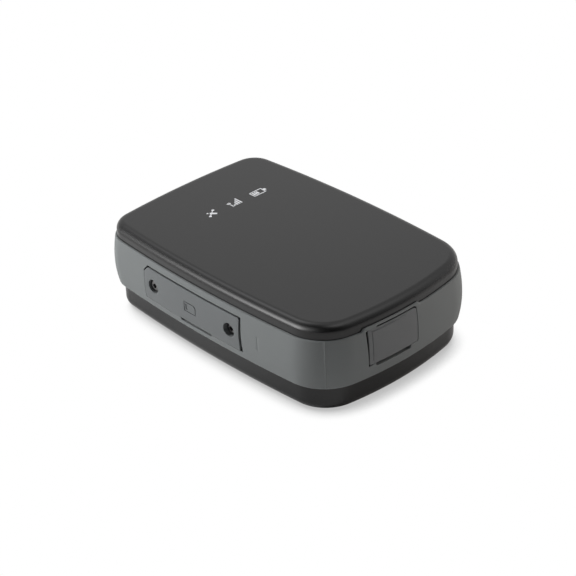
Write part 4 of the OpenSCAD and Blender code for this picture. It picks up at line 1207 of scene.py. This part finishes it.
class TRACKER_OT_tub(bpy.types.Operator):
    """Makes the tub, with the pocket of the door, the socket way and the screw posts"""
    bl_idname = "tracker.make_tub"
    bl_label = "Tub"

    def execute(self, context):
        settings = context.scene.tracker
        case = settings.case
        plan = Plan(case)
        inner = case.seat + case.wall
        ledge = settings.band.bottom - LEDGE_GAP
        profile = quarter((case.tub_step, case.tub_round),
                          (case.tub_step + case.tub_round, 0), 14)[::-1]
        profile += [(case.tub_step, (case.tub_round + ledge) / 2), (case.tub_step, ledge),
                    (case.seat, ledge), (case.seat, case.rim), (inner, case.rim)]
        profile += quarter((inner, case.skin + case.inner_round),
                           (inner + case.inner_round, case.skin), 5)
        shell = swept(plan, profile).data("shell")
        more = self.additions(settings, plan).data("additions")
        cuts = self.cuts(settings, plan).data("cuts")
        data = combined(shell, [("UNION", more), ("DIFFERENCE", cuts)])
        piece("tub", data, shell_finish(settings.colours), "case", ["bottom_case"])
        return {"FINISHED"}

    def insert_places(self, door):
        """The axes of the two door screws, pointing out of the case."""
        outward = Matrix.Rotation(math.pi / 2, 4, "X")
        return [Matrix.Translation((x, 0, door.screw_high)) @ outward
                for _, x in door_screw_places(door)]

    def curved(self, shape, plan, start, end, low, high, outer, inner):
        """A block between two places along the crown, two heights and two insets."""
        step = 3 * MM
        count = max(1, math.ceil((end - start) / step))
        rings = []
        for k in range(count + 1):
            along = start + (end - start) * k / count
            ring = [(outer, low), (inner, low), (inner, high), (outer, high)]
            rings.append([plan.at(along, inset, z) for inset, z in ring])
        shape.solid(rings)

    def additions(self, settings, plan):
        """The pad behind the door, the bosses of the door screws and the corner posts."""
        case, door = settings.case, settings.door
        shape = Shape()
        margin, pad_back = 1.2 * MM, 6 * MM
        self.curved(shape, plan, plan.near_side(door.left - margin),
                    plan.near_side(door.right + margin), door.bottom - margin, door.top + margin,
                    case.seat + case.wall / 2, pad_back)
        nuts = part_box("door_inserts")
        boss, boss_wall = 2.7 * MM, 0.6 * MM
        for place in self.insert_places(door):
            shape.rod(place, [(boss, -nuts[0].y), (boss, -nuts[1].y - boss_wall)])
        for x, y in case_screw_places(case, plan):
            shape.rod(Matrix.Translation((x, y, 0)),
                      [(case.post, case.skin / 2), (case.post, case.post_top)], 40)
        return shape

    def cuts(self, settings, plan):
        """The door's pocket and card way, the ways of the socket and the switch, and the holes."""
        case, door, flap = settings.case, settings.door, settings.flap
        shape = Shape()
        gap, pocket_back = 0.3 * MM, 0.2 * MM
        self.curved(shape, plan, plan.near_side(door.left - gap), plan.near_side(door.right + gap),
                    door.bottom - gap, door.top + gap, case.seat - MM, door.thick + pocket_back)
        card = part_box("sim_card")
        mid = (card[0] + card[1]) / 2
        side = -case.wide / 2
        way_half, way_rise, way_deep = 8.5 * MM, 1.5 * MM, 8 * MM
        shape.block((mid.x - way_half, side, mid.z - way_rise),
                    (mid.x + way_half, side + way_deep, mid.z + way_rise))
        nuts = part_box("door_inserts")
        nut, nut_end, hole_end = 1.75 * MM, 0.02 * MM, 0.3 * MM
        for place in self.insert_places(door):
            shape.rod(place, [(door.hole, -side), (door.hole, -nuts[1].y - hole_end)], 24)
            shape.rod(place, [(nut, -nuts[0].y + nut_end), (nut, -nuts[1].y - nut_end)], 24)
        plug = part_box("usb_socket")
        end = case.long / 2
        deep = end - case.seat - 3 * MM
        room, rise, soft = 1.35 * MM, 1.4 * MM, 1.5 * MM
        left, right = plug[0].y - room, plug[1].y + room
        low, high = plug[0].z - rise, plug[1].z + rise
        way = rounded([(left, low, soft), (right, low, soft), (right, high, soft),
                       (left, high, soft)], MM)
        shape.solid([[(x, place.x, place.y) for place in places(way)] for x in (deep, end)])
        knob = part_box("power_knob")
        slack, travel = 0.4 * MM, 2.4 * MM
        shape.block((deep, knob[0].y - slack, knob[0].z - slack),
                    (end, knob[1].y + travel, knob[1].z + slack))
        shank, overlap = 1.5 * MM, 0.1 * MM
        for x, y in case_screw_places(case, plan):
            spin = Matrix.Translation((x, y, 0))
            shape.rod(spin, [(case.screw_recess, -MM), (case.screw_recess, case.screw_seat)], 48)
            shape.rod(spin, [(shank, case.screw_seat - overlap), (shank, case.post_top + MM)])
        return shape


def door_window(plan, door):
    """Outline of the band's window round the door, with the fingernail slot under it."""
    tight = door.tight_gap
    left, right = door.left - tight, door.right + door.right_gap
    low, high = door.bottom - tight, door.top + door.top_gap
    slot = door.bottom + NAIL_BITE - door.nail_high
    small = 0.14 * MM
    corners = [
        (left, low, 0.4 * MM), (door.nail_from - 0.3 * MM, low, small),
        (door.nail_from, slot, small), (door.nail_to, slot, small),
        (door.nail_to + 0.3 * MM, low, small), (right + 0.3 * MM, low - 0.05 * MM, 0.35 * MM),
        (right, high, 0.5 * MM), (left + door.clip, high, 0.3 * MM),
        (left, high - door.clip - 0.1 * MM, 0.3 * MM)]
    return rounded([(plan.near_side(x), z, r) for x, z, r in corners], WINDOW_STEP, 5)


def flap_window(plan, flap):
    """Outline of the band's window round the flap, with the fingernail slot under it. The gap at
    the free edge narrows downwards and ends in a short slit under the flap, and the gap over the
    flap stops short of that edge."""
    tight = flap.tight_gap
    left, right = flap.left - flap.left_gap, flap.right + tight
    low, high = flap.bottom - tight, flap.top + flap.top_gap
    slot = flap.bottom - flap.nail_high
    small = 0.1 * MM
    foot = flap.left - 0.3 * flap.left_gap
    slit = low - 0.25 * MM
    slit_end = flap.left + 1.1 * MM
    shut = left + 3.4 * MM
    closed = flap.top + 0.05 * MM
    corners = [
        (foot, slit, small), (slit_end, slit, small), (slit_end + small, low, small / 2),
        (flap.nail_from, low, small), (flap.nail_from + 0.15 * MM, slot, small),
        (flap.nail_to, slot, 0.3 * MM), (flap.nail_to + 0.3 * MM, low, small),
        (right, low, 0.5 * MM), (right, high, flap.top_corner), (shut + 0.3 * MM, high, small),
        (shut, closed, small), (left, closed, 0.3 * MM)]
    return rounded([(plan.socket_end(y), z, r) for y, z, r in corners], WINDOW_STEP, 5)


class TRACKER_OT_band(bpy.types.Operator):
    """Makes the rubber band, with its two windows, its lip and its mould seam"""
    bl_idname = "tracker.make_band"
    bl_label = "Band"

    def execute(self, context):
        settings = context.scene.tracker
        band = settings.band
        self.band = band
        self.plan = Plan(settings.case)
        self.face = BandFace(self.plan, band)
        self.low = band.bottom + band.edge
        self.high = band.top + band.lip_rise - band.edge
        windows = [door_window(self.plan, settings.door), flap_window(self.plan, settings.flap)]
        around = self.around()
        levels = self.levels()
        shape = Shape()
        # Outer face, the same face seen from behind, and the walls of the windows
        border = self.border(around, levels)
        grid = [Vector((along, z)) for along in around for z in levels]
        edge, guard = band.window_edge, 0.3 * MM
        shape.sheet(border, [offset(window, edge) for window in windows], grid, guard,
                    lambda point: self.outside(point.x, point.y, 0))
        shape.sheet(border, windows, grid, guard, self.behind)
        for window in windows:
            self.window(shape, window)
        self.edges(shape, around)
        data = shape.data("bumper_band")
        finish = rubber("band_rubber", settings.colours.band, MATT)
        piece("band", data, finish, "case", ["bumper_band"])
        return {"FINISHED"}

    def around(self):
        """Places along the crown, closer together where something small rises from the face."""
        plan, band = self.plan, self.band
        found = plan.samples(SHELL_STEP, math.radians(3.5))
        seam = plan.near_corner(SEAM_SHARE)
        found += [seam + band.seam_wide * off for off in (-1.6, -1, -0.5, 0, 0.5, 1, 1.6)]
        dent = plan.near_side(band.dent)
        found += [dent + band.dent_wide * off for off in (-1, -0.5, 0, 0.5, 1)]
        for end, side in ((plan.socket_end(band.lip_from), 1), (plan.socket_end(band.lip_to), -1)):
            found += [end + side * off * MM for off in (0, 0.25, 0.5, 0.75, 1.0)]
        found = sorted(found)
        kept = found[:1]
        closest = 0.06 * MM
        for along in found[1:]:
            if along - kept[-1] > closest:
                kept.append(along)
        return kept

    def levels(self):
        highest = self.high - 0.1 * MM
        rows = [self.low + row * MM for row in BAND_ROWS]
        return [self.low] + [row for row in rows if row < highest] + [self.high]

    def border(self, around, levels):
        ends = [0] + [along for along in around if along > 0] + [self.plan.long]
        loop = [(Vector((along, levels[0])), None) for along in ends]
        loop += [(Vector((self.plan.long, z)), None) for z in levels[1:]]
        loop += [(Vector((along, levels[-1])), None) for along in ends[-2::-1]]
        loop += [(Vector((0, z)), None) for z in levels[-2:0:-1]]
        return loop

    def lip(self, along):
        """How much of the lip stands at that place, from 0 to 1."""
        band = self.band
        start = self.plan.socket_end(band.lip_from)
        end = self.plan.socket_end(band.lip_to)
        return eased(min(along - start, end - along) / MM)

    def shape_at(self, along, z):
        """Height and inset of the outer face, for a height on a face that is all lip."""
        band = self.band
        lip = self.lip(along)
        over = max(0, z - LIP_ROOT)
        plain = LIP_ROOT + over * (band.top - band.edge - LIP_ROOT) / (self.high - LIP_ROOT)
        height = plain + (z - plain) * lip if over else z
        climb = eased((height - LIP_ROOT) / LIP_CLIMB) * lip
        inset = self.face.inset(height) * (1 - climb) + band.lip_step * climb
        seam = abs(along - self.plan.near_corner(SEAM_SHARE)) / (band.seam_wide * 1.6)
        if seam < 1:
            inset -= band.seam_rise * (1 - seam * seam) ** 2
        dent = abs(along - self.plan.near_side(band.dent)) / band.dent_wide
        if dent < 1 and band.dent_low < z < band.dent_high:
            inset += band.dent_deep * (1 - dent * dent)
        return height, inset

    def outside(self, along, z, depth):
        height, inset = self.shape_at(along, z)
        return self.plan.at(along, inset + depth, height)

    def behind(self, point):
        """The back of the band, at the height that the outer face has there."""
        height, _ = self.shape_at(point.x, point.y)
        low, high = self.low, self.band.top
        share_up = (point.y - low) / (self.high - low)
        spread = self.band.bottom + (high - self.band.bottom) * share_up
        at_border = min(point.y - low, self.high - point.y) < 0.01 * MM
        z = min(spread if at_border else height, high)
        return self.plan.at(point.x, self.band.thick, z)

    def window(self, shape, window):
        rings = []
        for out, deep in rounding(self.band.window_edge):
            rings.append([self.outside(place.x, place.y, deep) for place in
                          places(offset(window, out))])
        rings.append([self.behind(place) for place in places(window)])
        shape.tube(rings)

    def edges(self, shape, around):
        """The rounded upper and lower edges, and the ledges behind them."""
        band, plan = self.band, self.plan
        lower, upper = [], []
        for out, deep in rounding(band.edge):
            rise = Vector((0, 0, band.edge - out))
            lower.append([self.outside(along, self.low, deep) - rise for along in around])
            upper.append([self.outside(along, self.high, deep) + rise for along in around])

        def flat(inset, height):
            return [plan.at(along, inset, height(along)) for along in around]

        lower.append(flat(band.thick, lambda along: band.bottom))
        upper.append(flat(band.lip_back, lambda along: band.top + band.lip_rise * self.lip(along)))
        upper.append(flat(band.lip_back, lambda along: band.top))
        upper.append(flat(band.thick, lambda along: band.top))
        shape.tube(lower)
        shape.tube(upper)


class TRACKER_OT_door(bpy.types.Operator):
    """Makes the card door, with its screw recesses and the card mark"""
    bl_idname = "tracker.make_door"
    bl_label = "Card door"

    def execute(self, context):
        settings = context.scene.tracker
        door = settings.door
        self.plan = Plan(settings.case)
        self.face = BandFace(self.plan, settings.band)
        self.door = door
        outline = self.outline()
        shape = Shape()
        recesses = [circle(self.plan.near_side(x), door.screw_high, door.recess, 48)
                    for _, x in door_screw_places(door)]
        card, island, pad = self.mark()
        edge = door.edge
        holes = [offset(recess, edge) for recess in recesses] + [card]
        shape.sheet(offset(outline, -edge), holes, self.grid(PANEL_STEP), 0.25 * MM, self.front)
        shanks = [circle(self.plan.near_side(x), door.screw_high, door.hole, 24)
                  for _, x in door_screw_places(door)]
        shape.sheet(outline, shanks, self.grid(2.5 * MM), 0.6 * MM, self.back)
        self.sides(shape, outline)
        for (_, x), recess, shank in zip(door_screw_places(door), recesses, shanks):
            self.recess(shape, x, recess, shank)
        self.groove(shape, card, island, pad)
        finish = rubber("door_rubber", settings.colours.door)
        piece("card_door", shape.data("card_door"), finish, "door", ["sim_door"])
        return {"FINISHED"}

    def outline(self):
        """The outline of the door, which the fingernail slot notches from below."""
        door = self.door
        notch, small, slant = door.bottom + NAIL_BITE, 0.08 * MM, 0.2 * MM
        corners = [(door.left, door.bottom, 0.45 * MM), (door.nail_from, door.bottom, small),
                   (door.nail_from + slant, notch, small), (door.nail_to - slant, notch, small),
                   (door.nail_to, door.bottom, small), (door.right, door.bottom, 0.5 * MM),
                   (door.right, door.top, 0.5 * MM), (door.left + door.clip, door.top, 0.3 * MM),
                   (door.left, door.top - door.clip, 0.3 * MM)]
        return rounded([(self.plan.near_side(x), z, r) for x, z, r in corners], PANEL_STEP)

    def grid(self, step):
        door = self.door
        start, end = self.plan.near_side(door.left), self.plan.near_side(door.right)
        across = math.ceil((end - start) / step)
        up = math.ceil((door.top - door.bottom) / step)
        return [Vector((start + (end - start) * i / across,
                        door.bottom + (door.top - door.bottom) * k / up))
                for i in range(across + 1) for k in range(up + 1)]

    def front(self, point):
        return self.face.at(point.x, point.y)

    def back(self, point):
        return self.plan.at(point.x, self.door.thick, point.y)

    def sides(self, shape, outline):
        rings = []
        for out, deep in rounding(self.door.edge):
            rings.append([self.face.at(point.x, point.y, deep) for point in
                          places(offset(outline, -out))])
        rings.append([self.back(point) for point in places(outline)])
        shape.tube(rings)

    def recess(self, shape, x, recess, shank):
        """The round recess down to its flat seat, and the hole for the shank."""
        door = self.door
        middle = self.plan.near_side(x)
        rings = []
        for out, deep in rounding(door.edge):
            rings.append([self.face.at(point.x, point.y, deep) for point in
                          places(offset(recess, out))])
        floor = [Vector((x + point.x - middle, door.seat, point.y)) for point in places(recess)]
        rings.append(floor)
        shape.tube(rings)
        hole = [Vector((x + point.x - middle, door.seat, point.y)) for point in places(shank)]
        outer_row = shape.row(floor)
        inner_row = shape.row(hole)
        for k in range(len(inner_row)):
            ahead = (k + 1) % len(inner_row)
            wide = [outer_row[(2 * k + step) % len(outer_row)] for step in range(3)]
            shape.mesh.faces.new([inner_row[ahead], inner_row[k]] + wide)
        shape.tube([hole, [self.back(point) for point in places(shank)]])

    def mark(self):
        """Loops of the card mark: the outer and the inner line of a card with a clipped corner,
        and its contact field."""
        door = self.door
        left = self.plan.near_side(door.mark_from)
        right = left + door.mark_wide
        low = door.screw_high - door.mark_high / 2
        high = low + door.mark_high
        clip, tight = 0.7 * MM, 0.1 * MM
        lines = []
        for trim in (0, door.mark_line):
            soft = 0.3 * MM - trim / 2
            slant = clip + trim * 0.4
            corners = [(left + trim, low + trim, soft), (right - trim, low + trim, soft),
                       (right - trim, high - slant, tight), (right - slant, high - trim, tight),
                       (left + trim, high - trim, soft)]
            lines.append(rounded(corners, MM, 3))
        inset, field_wide = 0.7 * MM, 0.85 * MM
        field = [(left + inset, low + inset), (left + inset + field_wide, low + inset),
                 (left + inset + field_wide, high - inset), (left + inset, high - inset)]
        pad = rounded([(x, z, 0.12 * MM) for x, z in field], MM, 3)
        return lines[0], lines[1], pad

    def groove(self, shape, outer, island, pad):
        """The sunk line between outer and island, the island at the face, and the sunk pad."""
        deep = self.door.mark_deep

        def sunk(point):
            return self.face.at(point.x, point.y, deep)

        shape.sheet(outer, [island], [], 0, sunk)
        shape.sheet(island, [pad], [], 0, self.front)
        shape.sheet(pad, [], [], 0, sunk)
        for loop in (outer, island, pad):
            rim = places(loop)
            shape.tube([[self.front(point) for point in rim], [sunk(point) for point in rim]])


class TRACKER_OT_flap(bpy.types.Operator):
    """Makes the socket flap, with its raised border and the hollow plug behind it"""
    bl_idname = "tracker.make_flap"
    bl_label = "Socket flap"

    def execute(self, context):
        settings = context.scene.tracker
        self.flap = settings.flap
        self.plan = Plan(settings.case)
        self.face = BandFace(self.plan, settings.band)
        outline = self.outline()
        shape = Shape()
        shape.sheet(offset(outline, -self.flap.edge), [], self.grid(), 0.12 * MM, self.front)
        self.sides(shape, outline)
        shape.sheet(outline, [], [], 0, self.back)
        self.plug(shape)
        finish = rubber("flap_rubber", settings.colours.flap, MATT)
        piece("socket_flap", shape.data("socket_flap"), finish, "flap",
              ["usb_flap"])
        return {"FINISHED"}

    def outline(self):
        flap = self.flap
        corners = [(flap.left, flap.bottom, flap.corner), (flap.right, flap.bottom, flap.corner),
                   (flap.right, flap.top, flap.top_corner), (flap.left, flap.top, flap.corner)]
        return rounded([(self.plan.socket_end(y), z, r) for y, z, r in corners], PANEL_STEP)

    def grid(self):
        """Points over the face, closer together at the inner edge of the raised border."""
        flap = self.flap
        start, end = self.plan.socket_end(flap.left), self.plan.socket_end(flap.right)
        step = flap.groove_wide / 2
        across = [start + flap.border_left + step * k for k in (-2, -1, 0, 1, 2)]
        across += [start + (end - start) * k / 14 for k in range(1, 14)]
        up = [flap.top - flap.border_top - step * k for k in (-2, -1, 0, 1, 2)]
        up += [flap.bottom + (flap.top - flap.bottom) * k / 9 for k in range(1, 9)]
        return [Vector((x, z)) for x in across for z in up]

    def sink(self, point):
        """Depth of the middle of the face under its border, with the groove between them."""
        flap = self.flap
        start = self.plan.socket_end(flap.left)
        past = min(point.x - start - flap.border_left, flap.top - flap.border_top - point.y)
        inner = max(0, min(1, past / flap.groove_wide))
        fade = max(0, GROOVE_END - (point.x - start) / (flap.right - flap.left))
        depth = flap.groove * min(1, fade * GROOVE_FADE)
        return flap.border_rise * inner + depth * max(0, 1 - abs(past) / flap.groove_wide)

    def front(self, point, deep=0):
        return self.face.at(point.x, point.y, self.sink(point) + deep)

    def back(self, point):
        return self.plan.at(point.x, self.flap.thick, point.y)

    def sides(self, shape, outline):
        rings = []
        for out, deep in rounding(self.flap.edge):
            rings.append([self.front(point, deep) for point in places(offset(outline, -out))])
        rings.append([self.back(point) for point in places(outline)])
        shape.tube(rings)

    def plug(self, shape):
        flap = self.flap
        start = flap.thick - 0.1 * MM

        def ring(trim, inset, radius):
            corners = [(flap.plug_from + trim, flap.plug_bottom + trim, radius),
                       (flap.plug_to - trim, flap.plug_bottom + trim, radius),
                       (flap.plug_to - trim, flap.plug_top - trim, radius),
                       (flap.plug_from + trim, flap.plug_top - trim, radius)]
            loop = rounded([(self.plan.socket_end(y), z, r) for y, z, r in corners], 20 * MM, 6)
            return [self.plan.at(point.x, inset, point.y) for point in places(loop)]

        outer, wall, end = 1.1 * MM, flap.plug_wall, flap.plug_in
        soft = 0.2 * MM
        rings = [ring(0, start, outer), ring(0, end - soft, outer), ring(soft, end, outer),
                 ring(wall - soft, end, 0.5 * MM), ring(wall, end - soft, 0.4 * MM),
                 ring(wall, start, 0.4 * MM)]
        rows = shape.tube(rings)
        shape.strip(rows[-1], rows[0])


def ring(turns, radius, height):
    return [(radius * math.cos(a), radius * math.sin(a), height) for a in turns]


def screw_mesh(name, head, head_high, shank, shank_long, pitch, socket, socket_deep):
    """A screw along Z with the top of its head at 0: a domed head, a hexagon socket, a thread."""
    steps = 32
    turns = [2 * math.pi * k / steps for k in range(steps)]
    shape = Shape()
    dome = DOME_SHARE * head_high
    rings = [ring(turns, head * wide, -dome * deep) for wide, deep in HEAD_DOME]
    rings += [ring(turns, head * wide, -head_high * deep) for wide, deep in HEAD_FOOT]
    core = shank - 0.3 * pitch
    rings.append(ring(turns, core, -head_high))
    rows = math.ceil(shank_long / pitch * 6)
    for k in range(1, rows):
        down = shank_long * k / rows
        fade = min(1, down / pitch, (shank_long - down) / (2 * pitch))
        row = []
        for a in turns:
            phase = (down / pitch - a / (2 * math.pi)) % 1
            r = core + (shank - core) * fade * max(0, 1 - abs(2 * phase - 1) * 1.35)
            row.append((r * math.cos(a), r * math.sin(a), -head_high - down))
        rings.append(row)
    rings.append(ring(turns, core * 0.5, -head_high - shank_long))
    shape.solid(rings)
    body = shape.data(name)
    drive = Shape()
    corners = [math.pi / 3 * k for k in range(6)]
    drive.solid([ring(corners, socket, height) for height in (socket_deep, -socket_deep)])
    return combined(body, [("DIFFERENCE", drive.data("drive"))])


class TRACKER_OT_door_screws(bpy.types.Operator):
    """Makes the two screws of the card door"""
    bl_idname = "tracker.make_door_screws"
    bl_label = "Door screws"

    def execute(self, context):
        settings = context.scene.tracker
        sizes, door = settings.screws, settings.door
        steel = screw_finish(settings.colours)
        for name, x in door_screw_places(door):
            data = screw_mesh("door_screw_" + name, sizes.door_head, sizes.door_head_high,
                              sizes.door_shank, sizes.door_shank_long, sizes.pitch,
                              sizes.door_socket, sizes.socket_deep)
            outward = Matrix.Rotation(math.pi / 2, 4, "X")
            spin = Matrix.Rotation(math.radians(DRIVE_TURNS[name]), 4, "Z")
            place = Matrix.Translation((x, door.seat - sizes.door_head_high, door.screw_high))
            piece("door_screw_" + name, data, steel, "door_screw_" + name,
                  ["sim_screw_" + name], place @ outward @ spin)
        return {"FINISHED"}


class TRACKER_OT_case_screws(bpy.types.Operator):
    """Makes the four screws in the underside"""
    bl_idname = "tracker.make_case_screws"
    bl_label = "Case screws"

    def execute(self, context):
        settings = context.scene.tracker
        sizes, case = settings.screws, settings.case
        steel = screw_finish(settings.colours)
        plan = Plan(case)
        for number, (x, y) in enumerate(case_screw_places(case, plan)):
            name = "case_screw_" + str(number + 1)
            data = screw_mesh(name, sizes.case_head, sizes.case_head_high, sizes.case_shank,
                              sizes.case_shank_long, sizes.pitch, sizes.case_socket,
                              sizes.socket_deep)
            down = Matrix.Rotation(math.pi, 4, "X")
            spin = Matrix.Rotation(math.radians(CASE_TURN + CASE_TURN_STEP * number), 4, "Z")
            place = Matrix.Translation((x, y, case.screw_seat - sizes.case_head_high))
            piece(name, data, steel, "case", ["case_screws"], place @ down @ spin)
        return {"FINISHED"}


class TRACKER_OT_inside(bpy.types.Operator):
    """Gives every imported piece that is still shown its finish"""
    bl_idname = "tracker.finish_inside"
    bl_label = "Inside pieces"

    def execute(self, context):
        colours = context.scene.tracker.colours
        steel = screw_finish(colours)
        black = moulded("black_plastic", (0.018, 0.018, 0.019), 0.45)
        tin = plated("tinned_steel", (0.62, 0.62, 0.6), 0.32, (0.15, 1, 1))
        brass = plated("insert_brass", colours.brass, 0.3, (1, 1, 0.2))
        spring = plated("socket_metal", (0.66, 0.66, 0.64), 0.26, (1, 0.12, 1))
        white = moulded("plug_plastic", (0.62, 0.6, 0.52), 0.42)
        finishes = {
            "case_gasket": rubber("gasket_rubber", (0.02, 0.02, 0.021), 0.6),
            "sim_door_seal": rubber("seal_rubber", (0.03, 0.03, 0.031), 0.55),
            "cover_inserts": brass,
            "door_inserts": brass,
            "sim_socket": spring,
            "sim_card": card_face("card_plastic", (0.72, 0.73, 0.72)),
            "usb_socket": spring,
            "power_switch": tin,
            "power_knob": black,
            "main_board": laminate("board_laminate", colours.board),
            "board_screws": steel,
            "board_chips": moulded("chip_plastic", (0.02, 0.02, 0.021), 0.5, 7000),
            "board_passives": ceramic("part_ceramic", (0.36, 0.25, 0.16), 0.4),
            "modem_can": tin,
            "gnss_can": tin,
            "battery_pack": foil("cell_foil", (0.06, 0.13, 0.32)),
            "battery_pad": foam("pad_foam", (0.05, 0.05, 0.052)),
            "battery_socket": white,
            "battery_plug": white,
            "battery_lead_plus": rubber("lead_red", (0.42, 0.02, 0.015), 0.42, 5200),
            "battery_lead_minus": rubber("lead_black", (0.015, 0.015, 0.016), 0.42, 5200),
            "gnss_antenna": ceramic("antenna_ceramic", (0.5, 0.4, 0.28), 0.45),
            "gnss_patch": plated("antenna_silver", (0.78, 0.77, 0.73), 0.36, (1, 0.3, 1)),
            "antenna_carrier": moulded("carrier_plastic", (0.03, 0.03, 0.032), 0.5),
            "antenna_trace": plated("antenna_copper", (0.78, 0.4, 0.2), 0.3, (0.2, 1, 1)),
            "status_leds": lamp_body("light_case", (0.75, 0.74, 0.7)),
            "light_guide": guide("light_plastic", (0.9, 0.91, 0.9)),
        }
        for name, finish in finishes.items():
            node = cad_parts[name]
            if not node.data.materials:
                node.data.materials.append(finish)
            for index in range(len(node.data.materials)):
                node.data.materials[index] = finish
        return {"FINISHED"}


class TRACKER_PT_tools(bpy.types.Panel):
    """Lists the steps that build the tracker"""
    bl_idname = "TRACKER_PT_tools"
    bl_label = "Tracker"
    bl_space_type = "VIEW_3D"
    bl_region_type = "UI"
    bl_category = "Tracker"

    def draw(self, context):
        for operator in OPERATORS:
            self.layout.operator(operator.bl_idname)


GROUPS = [CaseSizes, BandSizes, DoorSizes, FlapSizes, IconSizes, ScrewSizes, Colours,
          StageSettings, TrackerSettings]
OPERATORS = [TRACKER_OT_stage, TRACKER_OT_lid, TRACKER_OT_icons, TRACKER_OT_tub, TRACKER_OT_band,
             TRACKER_OT_door, TRACKER_OT_flap, TRACKER_OT_door_screws, TRACKER_OT_case_screws,
             TRACKER_OT_inside]


def register():
    for group in GROUPS + OPERATORS + [TRACKER_PT_tools]:
        bpy.utils.register_class(group)
    bpy.types.Scene.tracker = bpy.props.PointerProperty(type=TrackerSettings)


def unregister():
    del bpy.types.Scene.tracker
    for group in reversed(GROUPS + OPERATORS + [TRACKER_PT_tools]):
        bpy.utils.unregister_class(group)


def main():
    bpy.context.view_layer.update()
    register()
    for operator in OPERATORS:
        family, name = operator.bl_idname.split(".")
        getattr(getattr(bpy.ops, family), name)()


if __name__ == "__main__":
    main()
